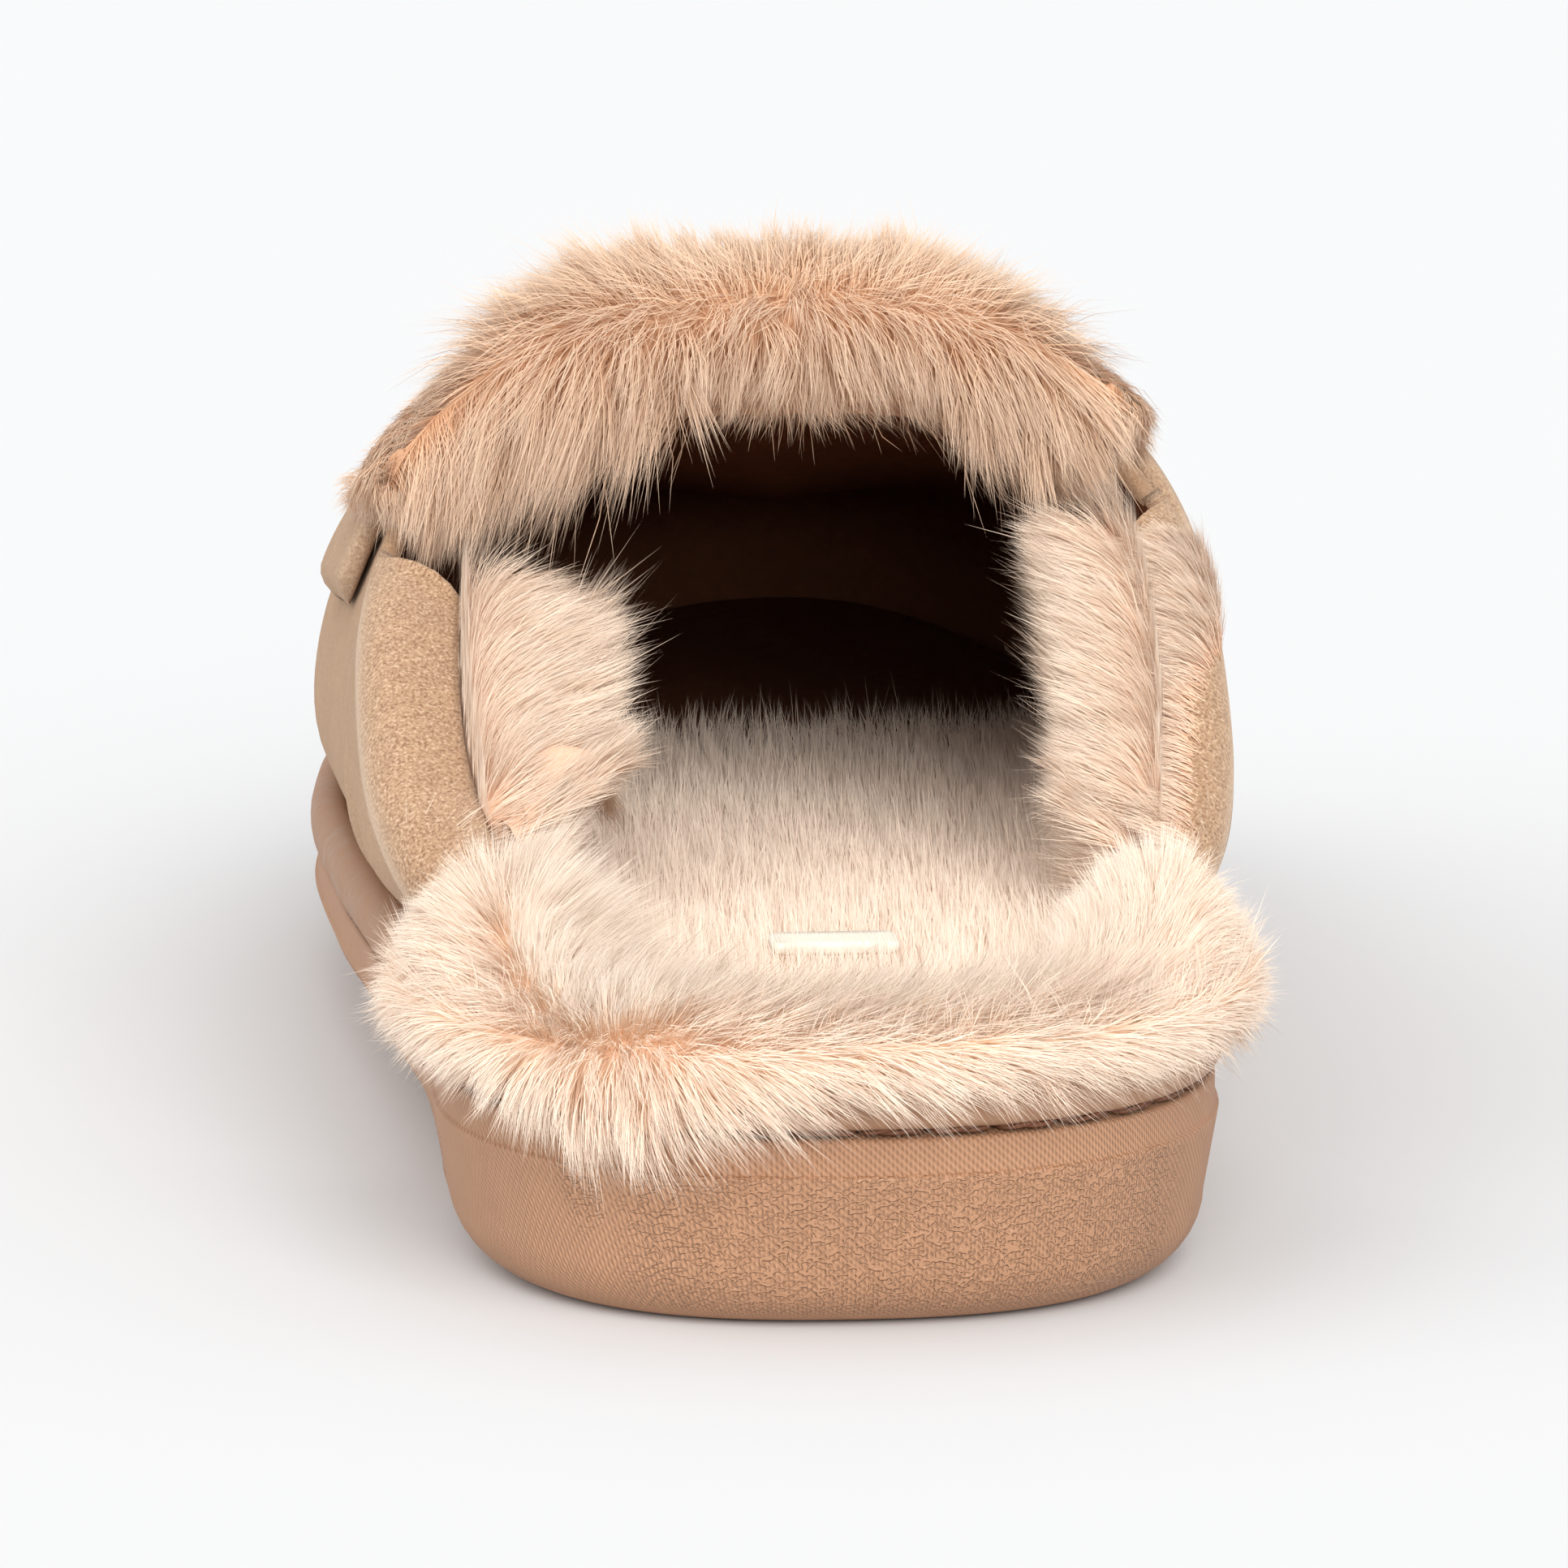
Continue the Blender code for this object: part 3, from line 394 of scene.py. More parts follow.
# %% Node helpers
def add_node(tree, kind, **inputs):
    """Node of a kind with inputs set by name: a socket is linked, anything else is a value."""
    made = tree.nodes.new(kind)
    for name, value in inputs.items():
        key = name.replace("_", " ")
        key = key if key in made.inputs else int(key.split(" ")[-1])
        if isinstance(value, bpy.types.NodeSocket):
            tree.links.new(value, made.inputs[key])
        else:
            made.inputs[key].default_value = value
    return made


def maths(tree, operation, first, second=0.0):
    """Result of one sum on two sockets or numbers."""
    made = add_node(tree, "ShaderNodeMath", input_0=first, input_1=second)
    made.operation = operation
    return made.outputs[0]


def ramp(tree, value, low, high):
    """A value stretched from low..high to a smooth 0..1."""
    made = add_node(tree, "ShaderNodeMapRange", Value=value, From_Min=low, From_Max=high)
    made.interpolation_type = "SMOOTHSTEP"
    return made.outputs["Result"]


def mix(tree, share, first, second):
    """Colour between two colours."""
    made = tree.nodes.new("ShaderNodeMix")
    made.data_type = "RGBA"
    sockets = [made.inputs["Factor"], made.inputs[6], made.inputs[7]]
    for socket, value in zip(sockets, (share, first, second)):
        if isinstance(value, bpy.types.NodeSocket):
            tree.links.new(value, socket)
        else:
            socket.default_value = value
    return made.outputs[2]


def tone(red, green, blue):
    """Colour with full cover."""
    return (red, green, blue, 1.0)


def new_group(name, inputs, outputs):
    """Shader group whose sockets are (name, kind, start value) rows, and its two end nodes."""
    tree = bpy.data.node_groups.new(name, "ShaderNodeTree")
    for label, kind, start in inputs:
        socket = tree.interface.new_socket(label, in_out="INPUT", socket_type=kind)
        if start is not None:
            socket.default_value = start
    for label, kind in outputs:
        tree.interface.new_socket(label, in_out="OUTPUT", socket_type=kind)
    return tree, tree.nodes.new("NodeGroupInput"), tree.nodes.new("NodeGroupOutput")


def use_group(tree, group, **inputs):
    """The group placed in a material with its own values."""
    made = tree.nodes.new("ShaderNodeGroup")
    made.node_tree = group
    for name, value in inputs.items():
        socket = made.inputs[name.replace("_", " ")]
        if isinstance(value, bpy.types.NodeSocket):
            tree.links.new(value, socket)
        else:
            socket.default_value = value
    return made


def new_finish(name, roughness, **values):
    """Material with a Principled shader whose even values are set on its own sockets."""
    material = bpy.data.materials.new(name)
    material.use_nodes = True
    tree = material.node_tree
    shader = tree.nodes["Principled BSDF"]
    shader.inputs["Roughness"].default_value = roughness
    for label, value in values.items():
        shader.inputs[label.replace("_", " ")].default_value = value
    return material, tree, shader


def add_relief(tree, shader, height, strength, distance):
    """Bump from a height in the given distance in metres."""
    bump = add_node(tree, "ShaderNodeBump", Strength=strength, Distance=distance, Height=height)
    tree.links.new(bump.outputs["Normal"], shader.inputs["Normal"])


FLOAT = "NodeSocketFloat"
COLOUR = "NodeSocketColor"
VECTOR = "NodeSocketVector"

# %% [markdown]
# ## Shared effects
# Three effects serve several finishes. Mottle is the slow drift of colour that every moulded or napped
# surface shows. Nap is the crumb of brushed suede: grains of a third of a millimetre, with painted shade
# in the gaps between them and painted highlights on their tips.
# Pile colours a strand from its warm root to its pale tip, read from the strand's own map, so that it
# looks the same from every side.


# %% Mottle, nap and pile groups
def make_mottle():
    """Base colour times one plus or minus a depth, by two sizes of noise."""
    tree, start, end = new_group(
        "mottle",
        (("Vector", VECTOR, None), ("Base", COLOUR, None), ("Scale", FLOAT, 60.0), ("Depth", FLOAT, 0.1)),
        (("Color", COLOUR), ("Value", FLOAT)),
    )
    wide = add_node(tree, "ShaderNodeTexNoise", Vector=start.outputs["Vector"], Scale=start.outputs["Scale"])
    fine_scale = maths(tree, "MULTIPLY", start.outputs["Scale"], 7.0)
    fine = add_node(tree, "ShaderNodeTexNoise", Vector=start.outputs["Vector"], Scale=fine_scale)
    both = maths(tree, "ADD", wide.outputs["Fac"], fine.outputs["Fac"])
    drift = maths(tree, "MULTIPLY", maths(tree, "SUBTRACT", both, 1.0), start.outputs["Depth"])
    bright = maths(tree, "ADD", drift, 1.0)
    scaled = add_node(tree, "ShaderNodeVectorMath", input_0=start.outputs["Base"])
    scaled.operation = "SCALE"
    tree.links.new(bright, scaled.inputs["Scale"])
    tree.links.new(scaled.outputs["Vector"], end.inputs["Color"])
    tree.links.new(both, end.inputs["Value"])
    return tree


def make_nap():
    """Suede crumb: fine noise sharpened between two limits, from painted shade in gaps to painted tip
    highlights.
    """
    tree, start, end = new_group(
        "nap",
        (
            ("Vector", VECTOR, None),
            ("Base", COLOUR, None),
            ("Gap", COLOUR, None),
            ("Tip", COLOUR, None),
            ("Size", FLOAT, 2300.0),
            ("Depth", FLOAT, 1.0),
        ),
        (("Color", COLOUR), ("Height", FLOAT)),
    )
    crumb = add_node(tree, "ShaderNodeTexNoise", Vector=start.outputs["Vector"], Scale=start.outputs["Size"])
    crumb.inputs["Detail"].default_value = 3.0
    crumb.inputs["Roughness"].default_value = 0.62
    # painted shade in the gaps between the grains and painted highlights on their tips
    gaps = ramp(tree, crumb.outputs["Fac"], 0.50, 0.36)
    tips = ramp(tree, crumb.outputs["Fac"], 0.53, 0.68)
    gap_shade_share = maths(tree, "MULTIPLY", gaps, start.outputs["Depth"])
    tip_highlight_share = maths(tree, "MULTIPLY", tips, start.outputs["Depth"])
    dark = mix(tree, gap_shade_share, start.outputs["Base"], start.outputs["Gap"])
    pale = mix(tree, tip_highlight_share, dark, start.outputs["Tip"])
    tree.links.new(pale, end.inputs["Color"])
    tree.links.new(crumb.outputs["Fac"], end.inputs["Height"])
    return tree


def make_pile():
    """Strand colour: root, middle and tip along the map's height, made lighter or darker by its width."""
    tree, start, end = new_group(
        "pile",
        (("Map", VECTOR, None), ("Root", COLOUR, None), ("Middle", COLOUR, None), ("Tip", COLOUR, None)),
        (("Color", COLOUR), ("Roughness", FLOAT)),
    )
    apart = add_node(tree, "ShaderNodeSeparateXYZ", Vector=start.outputs["Map"])
    along = apart.outputs["Y"]
    lower = mix(tree, ramp(tree, along, 0.05, 0.45), start.outputs["Root"], start.outputs["Middle"])
    upper = mix(tree, ramp(tree, along, 0.35, 0.95), lower, start.outputs["Tip"])
    bright = maths(tree, "ADD", maths(tree, "MULTIPLY", apart.outputs["X"], 0.36), 0.82)
    scaled = add_node(tree, "ShaderNodeVectorMath", input_0=upper)
    scaled.operation = "SCALE"
    tree.links.new(bright, scaled.inputs["Scale"])
    tree.links.new(scaled.outputs["Vector"], end.inputs["Color"])
    tree.links.new(ramp(tree, along, 1.6, -0.6), end.inputs["Roughness"])
    return tree


def mottled(tree, base, scale, depth):
    """Place on the object, and the mottle group there with a base colour, a noise scale and a depth."""
    place = add_node(tree, "ShaderNodeTexCoord").outputs["Object"]
    return place, use_group(tree, MOTTLE, Vector=place, Base=tone(*base), Scale=scale, Depth=depth)


MOTTLE = make_mottle()
NAP = make_nap()
PILE = make_pile()
print("shared effects:", MOTTLE.name, NAP.name, PILE.name)

# %% [markdown]
# ## The sole
# The sole is one moulding in tan rubber. It could be an extruded outline with a bevel, but its wall
# leans, carries a proud band under the stitches and rises at the toe, so a profile is carried round the
# outline instead: rounded lower edge, wall, band and groove. The underside is a grid between the two
# sides, with the tread bars pressed into it.

# %% Sole shape
EDGE_RADIUS = 7.0
BAND_HEIGHT = 3.6
BAND_STEP = -0.4
BAND_ROUND = 0.7
BAND_SLOPE = 0.5
OUTER_TUCK = 3.0
GROOVE_DEPTH = 1.8
TREAD_STATIONS = (20.0, 34.0, 48.0, 138.0, 152.0, 166.0, 180.0)
TREAD_WIDTH = 3.4
TREAD_DEPTH = 1.8
TREAD_MARGIN = 12.0
AROUND = 720
ACROSS = 40
ACROSS_PLAIN = 6

LOOP_PLAN, LOOP_OUT, LOOP_LENGTH = even_loop(AROUND)
LOOP_FLOOR = through(SOLE_ROWS, "spring", LOOP_PLAN[:, 1])
LOOP_TOP = through(SOLE_ROWS, "wall_top", LOOP_PLAN[:, 1])
print("outline", round(LOOP_LENGTH, 1), "mm round")


def loop_rows(out, height):
    """Rows of points: the outline moved out by each row's distance, at each row's heights."""
    out = np.asarray(out).reshape(len(out), -1, 1)
    plan = LOOP_PLAN[None] + LOOP_OUT[None] * out
    return np.concatenate([plan, np.asarray(height)[:, :, None]], axis=2)


def sole_wall():
    """Rows of the wall: a quarter circle, a leaning wall, a small shoulder, the band, its rounded lip and
    the groove; low down on the outer side the wall is tucked under."""
    turn = np.linspace(0.0, math.pi / 2.0, 10)[:, None]
    edge_out = -EDGE_RADIUS * (1.0 - np.sin(turn[:, 0]))
    edge_height = LOOP_FLOOR + EDGE_RADIUS * (1.0 - np.cos(turn))
    rise = np.linspace(0.0, 1.0, 13)[1:]
    wall_out = (WALL_FLARE - BAND_STEP) * rise
    wall_low = LOOP_FLOOR + EDGE_RADIUS
    wall_high = LOOP_TOP - BAND_HEIGHT - BAND_SLOPE
    wall_height = wall_low + (wall_high - wall_low) * rise[:, None]
    step = blend(0.0, 1.0, np.linspace(0.0, 1.0, 5)[1:])
    step_out = WALL_FLARE - BAND_STEP + BAND_STEP * step
    step_height = wall_high + BAND_SLOPE * np.linspace(0.0, 1.0, 5)[1:, None]
    lip = np.linspace(0.0, math.pi / 2.0, 7)[:, None]
    lip_out = WALL_FLARE - BAND_ROUND * (1.0 - np.cos(lip[:, 0]))
    lip_height = LOOP_TOP - BAND_ROUND * 1.5 + BAND_ROUND * np.sin(lip)
    groove = np.linspace(0.0, 1.0, 4)[1:]
    groove_out = lip_out[-1] + (WALL_FLARE - GROOVE_DEPTH - lip_out[-1]) * groove
    groove_height = lip_height[-1] + (LOOP_TOP - lip_height[-1]) * groove[:, None]
    out = np.concatenate([edge_out, wall_out, step_out, lip_out, groove_out])
    height = np.concatenate([edge_height, wall_height, step_height, lip_height, groove_height])
    station = LOOP_PLAN[:, 1]
    outer = blend(46.0, 64.0, station) * blend(200.0, 150.0, station) * (LOOP_PLAN[:, 0] < 0.0)
    tuck = OUTER_TUCK * outer[None] * blend(14.0, 5.0, height - LOOP_FLOOR)
    return loop_rows(out[:, None] - tuck, height)


def tread(points):
    """Depth of the tread: for each bar, smooth edges along the foot times a smooth end at the sides."""
    station = points[..., 1]
    off = np.abs(points[..., 0] - through(SOLE_ROWS, "swing", station))
    reach = half_width(station) - TREAD_MARGIN
    inside = blend(reach, reach - 1.0, off)
    near = np.abs(station[..., None] - np.array(TREAD_STATIONS)).min(axis=-1)
    return TREAD_DEPTH * inside * blend(TREAD_WIDTH / 2.0 + 0.4, TREAD_WIDTH / 2.0 - 0.4, near)


def across_grid(ring, columns):
    """Grid of points between the two sides of a closed ring, station by station, ends included."""
    half = len(ring) // 2
    medial = ring[: half + 1]
    lateral = np.concatenate([ring[:1], ring[: half - 1 : -1]])
    share = np.linspace(0.0, 1.0, columns + 1)[:, None]
    return medial[:, None] * (1.0 - share) + lateral[:, None] * share


def make_sole_mesh():
    """Wall rows closed by an underside grid with the tread in it and by a plain top grid."""
    wall = sole_wall()
    rows = len(wall)
    under = across_grid(wall[0], ACROSS)
    under[..., 2] += tread(under)
    top = across_grid(wall[-1], ACROSS_PLAIN)
    points = np.concatenate([wall.reshape(-1, 3), under.reshape(-1, 3), top.reshape(-1, 3)])
    index = wrapped(number_grid(wall))
    climb = np.concatenate([[0.0], np.cumsum(np.linalg.norm(np.diff(wall[:, 0], axis=0), axis=1))])
    places = flat_map(rows, AROUND + 1)
    places[..., 0] = np.linspace(0.0, 1.0, AROUND + 1)[None]
    places[..., 1] = climb[:, None] / 100.0
    grid = number_grid(under, rows * AROUND)
    lid = number_grid(top, grid.max() + 1)
    patches = [
        patch(index, places, flip=True),
        patch(grid, flat_map(*grid.shape, (0.0, 0.5), (1.0, 0.7)), flip=True),
        patch(lid, flat_map(*lid.shape, (0.0, 0.75), (1.0, 0.95))),
    ]
    mesh = lay_mesh("sole", points, patches)
    weld(mesh)
    return mesh


# %% [markdown]
# The wall of the sole copies a woven cloth: fine slanted threads at the corners, upright threads in the
# middle, and short glossy drops of rubber lying over them. The threads are sine waves along the outline,
# with a whole number of them round the sole so that no seam shows. The drops are where a noise stretched
# along the sole lies near its middle value; they lie thickest in the middle of the heel.


# %% Sole finish
def make_round_group():
    """Seamless place round the sole in metres: the outline rolled into a circle of the same length."""
    outputs = (("Vector", VECTOR), ("Run", FLOAT), ("Climb", FLOAT))
    tree, start, end = new_group("round the sole", (("Map", VECTOR, None),), outputs)
    apart = add_node(tree, "ShaderNodeSeparateXYZ", Vector=start.outputs["Map"])
    turn = maths(tree, "MULTIPLY", apart.outputs["X"], 2.0 * math.pi)
    radius = LOOP_LENGTH * MM / (2.0 * math.pi)
    joined = tree.nodes.new("ShaderNodeCombineXYZ")
    tree.links.new(maths(tree, "MULTIPLY", maths(tree, "COSINE", turn), radius), joined.inputs["X"])
    tree.links.new(maths(tree, "MULTIPLY", maths(tree, "SINE", turn), radius), joined.inputs["Y"])
    tree.links.new(maths(tree, "MULTIPLY", apart.outputs["Y"], 0.1), joined.inputs["Z"])
    tree.links.new(joined.outputs["Vector"], end.inputs["Vector"])
    tree.links.new(turn, end.inputs["Run"])
    tree.links.new(maths(tree, "MULTIPLY", apart.outputs["Y"], 100.0), end.inputs["Climb"])
    return tree


THREADS_ROUND = 1480
PICKS_UP = 8.0
THREAD_SLANT = 4.5
DROP_SIZE = 1500.0
DROP_STRETCH = 1.6
DROP_MIDDLE = 0.07


def make_sole_finish():
    """Tan rubber, mottled: threads as fine relief with painted shade in their hollows, drops as smooth,
    glossier plateaus on them.
    """
    material, tree, shader = new_finish("sole rubber", 0.45, Specular_IOR_Level=0.38)
    where = add_node(tree, "ShaderNodeUVMap")
    where.uv_map = "wrap"
    place = use_group(tree, make_round_group(), Map=where.outputs["UV"])
    run = place.outputs["Run"]
    climb = place.outputs["Climb"]
    half_turn = maths(tree, "MULTIPLY", maths(tree, "SUBTRACT", run, DROP_MIDDLE), 0.5)
    off = maths(tree, "ABSOLUTE", maths(tree, "SINE", half_turn))
    slant = maths(tree, "MULTIPLY", ramp(tree, off, 0.05, 0.22), THREAD_SLANT)
    warp = add_node(tree, "ShaderNodeTexNoise", Vector=place.outputs["Vector"], Scale=700.0)
    bend = maths(tree, "MULTIPLY", warp.outputs["Fac"], 2.5)
    upright = maths(tree, "ADD", maths(tree, "MULTIPLY", run, THREADS_ROUND), bend)
    threads = maths(tree, "SINE", maths(tree, "ADD", upright, maths(tree, "MULTIPLY", climb, slant)))
    dash = maths(tree, "ADD", maths(tree, "MULTIPLY", climb, PICKS_UP), maths(tree, "MULTIPLY", upright, 0.5))
    cut = maths(tree, "ADD", maths(tree, "MULTIPLY", maths(tree, "SINE", dash), 0.35), 0.65)
    weave = maths(tree, "MULTIPLY", threads, cut)
    on_wall = maths(tree, "MULTIPLY", ramp(tree, climb, 2.5, 5.0), ramp(tree, climb, 25.4, 24.6))
    woven = maths(tree, "MULTIPLY", weave, on_wall)
    squash = (1.0 / DROP_STRETCH, 1.0 / DROP_STRETCH, 1.0)
    stretch = add_node(tree, "ShaderNodeVectorMath", input_0=place.outputs["Vector"], input_1=squash)
    stretch.operation = "MULTIPLY"
    spread = add_node(tree, "ShaderNodeTexNoise", Vector=stretch.outputs["Vector"], Scale=DROP_SIZE)
    spread.inputs["Detail"].default_value = 0.0
    spread.inputs["Distortion"].default_value = 0.5
    patchy = add_node(tree, "ShaderNodeTexNoise", Vector=place.outputs["Vector"], Scale=45.0)
    middle = ramp(tree, off, 0.21, 0.09)
    dense = maths(tree, "MAXIMUM", middle, ramp(tree, patchy.outputs["Fac"], 0.50, 0.62))
    bare = maths(tree, "MULTIPLY", maths(tree, "SUBTRACT", 1.0, dense), 0.16)
    level = maths(tree, "ABSOLUTE", maths(tree, "SUBTRACT", spread.outputs["Fac"], 0.5))
    drop = ramp(tree, maths(tree, "ADD", level, bare), 0.11, 0.03)
    in_field = maths(tree, "MULTIPLY", ramp(tree, climb, 4.0, 6.0), ramp(tree, climb, 20.0, 19.2))
    drop = maths(tree, "MULTIPLY", drop, in_field)
    left = maths(tree, "SUBTRACT", 1.0, drop)
    bared = maths(tree, "MULTIPLY", woven, left)
    height = maths(tree, "ADD", maths(tree, "MULTIPLY", bared, 0.42), drop)
    _, colour = mottled(tree, (0.46, 0.245, 0.138), 45.0, 0.16)
    # painted shade: the weave's hollows are mixed towards dark brown; the drops take a little of it as a
    # darker tone of their own
    gaps = maths(tree, "MULTIPLY", ramp(tree, bared, 0.1, -1.0), 0.65)
    gaps = maths(tree, "ADD", gaps, maths(tree, "MULTIPLY", drop, 0.12))
    shaded = mix(tree, gaps, colour.outputs["Color"], tone(0.22, 0.112, 0.062))
    tree.links.new(shaded, shader.inputs["Base Color"])
    rough = maths(tree, "SUBTRACT", 0.54, maths(tree, "MULTIPLY", drop, 0.20))
    tree.links.new(rough, shader.inputs["Roughness"])
    add_relief(tree, shader, height, 0.9, 0.00024)
    return material


add_piece("sole_moulding", make_sole_mesh(), [make_sole_finish()], "outsole")

# %% [markdown]
# ## Welt and stitches
# Between sole and upper runs a smooth strip, the welt, sewn down by a thick brown thread in the groove.
# The strip is a small rounded profile carried round the outline. Each stitch is three thin plies that
# twist round each other and dive into the sole at both ends; all stitches are one array.

# %% Welt
WeltRow = namedtuple("WeltRow", "out rise")
WELT_ROWS = (
    WeltRow(0.2, 0.35),
    WeltRow(1.5, 1.0),
    WeltRow(1.8, 2.6),
    WeltRow(1.5, 4.4),
    WeltRow(0.3, 5.5),
    WeltRow(-1.2, 5.7),
    WeltRow(-2.2, 5.0),
    WeltRow(-2.2, 2.6),
    WeltRow(-2.1, 0.45),
    WeltRow(-1.0, 0.35),
)
WELT_STEPS = 24


def tube_round(rows, steps):
    """Points and patch of a closed profile (out, rise) carried round the whole outline."""
    profile = closed_curve(np.array(rows), steps)
    points = loop_rows(profile[:, 0], LOOP_TOP[None] + profile[:, 1:2])
    index = number_grid(points)
    index = wrapped(np.concatenate([index, index[:1]]))
    return points.reshape(-1, 3), patch(index, flat_map(steps + 1, AROUND + 1), flip=True)


def make_welt_finish():
    """Smooth strip: even tan with a faint pebble and a soft gloss."""
    material, tree, shader = new_finish("welt strip", 0.5, Specular_IOR_Level=0.3)
    spot, colour = mottled(tree, (0.34, 0.19, 0.113), 70.0, 0.2)
    tree.links.new(colour.outputs["Color"], shader.inputs["Base Color"])
    pebble = add_node(tree, "ShaderNodeTexVoronoi", Vector=spot, Scale=900.0)
    pebble.feature = "SMOOTH_F1"
    add_relief(tree, shader, pebble.outputs["Distance"], 0.25, 0.00012)
    tree.links.new(ramp(tree, colour.outputs["Value"], -1.0, 2.6), shader.inputs["Roughness"])
    return material


welt_points, welt_patch = tube_round(WELT_ROWS, WELT_STEPS)
welt_mesh = lay_mesh("welt", welt_points, [welt_patch])
add_piece("welt_strip", welt_mesh, [make_welt_finish()], "welt")

# %% Stitches
STITCH_LENGTH = 6.4
STITCH_SHARE = 0.97
PLY_COUNT = 3
PLY_RADIUS = 0.25
PLY_SPREAD = 0.27
PLY_TURNS = 0.8
STITCH_OUT = 0.55
STITCH_RISE = 0.42
STITCH_DIVE = 1.5
PLY_RINGS = 11
PLY_SIDES = 6


def make_stitch_mesh(seed=5):
    """Ply centre: along the outline, twisted about the stitch's line, sunk by the 8th power at both ends."""
    rng = np.random.default_rng(seed)
    count = int(round(LOOP_LENGTH / STITCH_LENGTH))
    pitch = LOOP_LENGTH / count
    s = np.arange(count)[:, None, None]
    ply = np.arange(PLY_COUNT)[None, :, None]
    t = np.linspace(-1.0, 1.0, PLY_RINGS)[None, None]
    slack = rng.normal(0.0, 0.08, (count, PLY_COUNT, 1))
    run = (s + 0.5 + 0.5 * STITCH_SHARE * t) * pitch + slack
    turn = 2.0 * math.pi * (ply / PLY_COUNT + 0.5 * PLY_TURNS * t) + rng.uniform(0.0, 6.28, (count, 1, 1))
    out = STITCH_OUT + PLY_SPREAD * np.cos(turn) - STITCH_DIVE * np.abs(t) ** 8 + slack
    rise = STITCH_RISE + PLY_SPREAD * np.sin(turn) + 0.0 * run
    key = np.arange(AROUND + 1) * LOOP_LENGTH / AROUND
    wanted = run % LOOP_LENGTH

    def at(values):
        """Values of the outline read at the wanted runs, by straight lines between its points."""
        return np.interp(wanted, key, np.concatenate([values, values[:1]]))

    x = at(LOOP_PLAN[:, 0]) + at(LOOP_OUT[:, 0]) * out
    y = at(LOOP_PLAN[:, 1]) + at(LOOP_OUT[:, 1]) * out
    centre = vectors(x, y, at(LOOP_TOP) + rise)
    along = unit(np.gradient(centre, axis=2))
    side = unit(np.cross(along, np.array([0.0, 0.0, 1.0])))
    up = np.cross(side, along)
    round_ply = np.arange(PLY_SIDES) * 2.0 * math.pi / PLY_SIDES
    ring = side[..., None, :] * np.cos(round_ply)[:, None] + up[..., None, :] * np.sin(round_ply)[:, None]
    thin = (PLY_RADIUS * (1.0 - 0.6 * np.abs(t) ** 12))[..., None, None]
    points = centre[..., None, :] + ring * thin
    number = np.arange(count * PLY_COUNT * PLY_RINGS * PLY_SIDES).reshape(-1, PLY_RINGS, PLY_SIDES)
    low = number[:, :-1]
    high = number[:, 1:]
    faces = np.stack([low, high, np.roll(high, -1, axis=2), np.roll(low, -1, axis=2)], axis=-1).reshape(-1, 4)
    ends = np.concatenate([number[:, 0], number[:, -1, ::-1]])
    places = flat_map(PLY_RINGS, PLY_SIDES)
    spots = np.tile(places[:-1, :, None, :], (len(number), 1, 4, 1)).reshape(-1, 4, 2)
    end_spots = np.full((len(ends), PLY_SIDES, 2), 0.5)
    return lay_mesh("stitches", points.reshape(-1, 3), [(faces, spots), (ends, end_spots)])


def make_thread_finish():
    """Waxed brown thread: strongly mottled colour, fine spun fibres as noise in its relief."""
    material, tree, shader = new_finish("brown thread", 0.55, Specular_IOR_Level=0.35)
    spot, colour = mottled(tree, (0.14, 0.050, 0.022), 260.0, 0.7)
    tree.links.new(colour.outputs["Color"], shader.inputs["Base Color"])
    fibre = add_node(tree, "ShaderNodeTexNoise", Vector=spot, Scale=5200.0)
    add_relief(tree, shader, fibre.outputs["Fac"], 0.5, 0.0001)
    return material


add_piece("stitches", make_stitch_mesh(), [make_thread_finish()])

# %% [markdown]
# ## The suede upper
# Vamp and quarters are one suede shell, a half-arch on each side from the welt to the ridge over the
# foot, bulging out over the welt as padded suede does. At the collar the edge is turned in, which shows
# in the photograph as a broad napped band with a paler crest. A subdivided box could be pushed
# into shape, but the arch formula keeps the last's shape, so it is sampled as a fine sheet, given a few
# creases where the foot flexes, and thickened with Solidify.

# %% Upper surface
WALL = 2.2
UPPER_INSET = 2.9
FULLNESS = 0.64
WELT_HEIGHT = 5.8
BULGE_HEIGHT = 5.0
BULGE_ONSET = 1.4
BULGE_FADE = 0.7
REAR = 54.0
QUARTER_END = 100.0
THROAT = 112.0
RIDGE_END = 226.0
STATION_STEP = 0.6
ANGLE_STEP = 0.01


def feather(side, ridge_station):
    """Foot of the column that rises to a ridge station: run along the outline, stretched by a square."""
    line = SIDES[side]
    station = line[0][:, 1]
    run = line[2]
    span = RIDGE_END - THROAT
    past = np.clip(ridge_station - THROAT, 0.0, span)
    extra = run[-1] - np.interp(THROAT, station, run) - span
    beside = np.interp(np.minimum(ridge_station, THROAT), station, run)
    wanted = beside + past + extra * (past / span) ** 2
    px, py, nx, ny = pick(line, run, wanted)
    return px - nx * UPPER_INSET, py - ny * UPPER_INSET, nx, ny


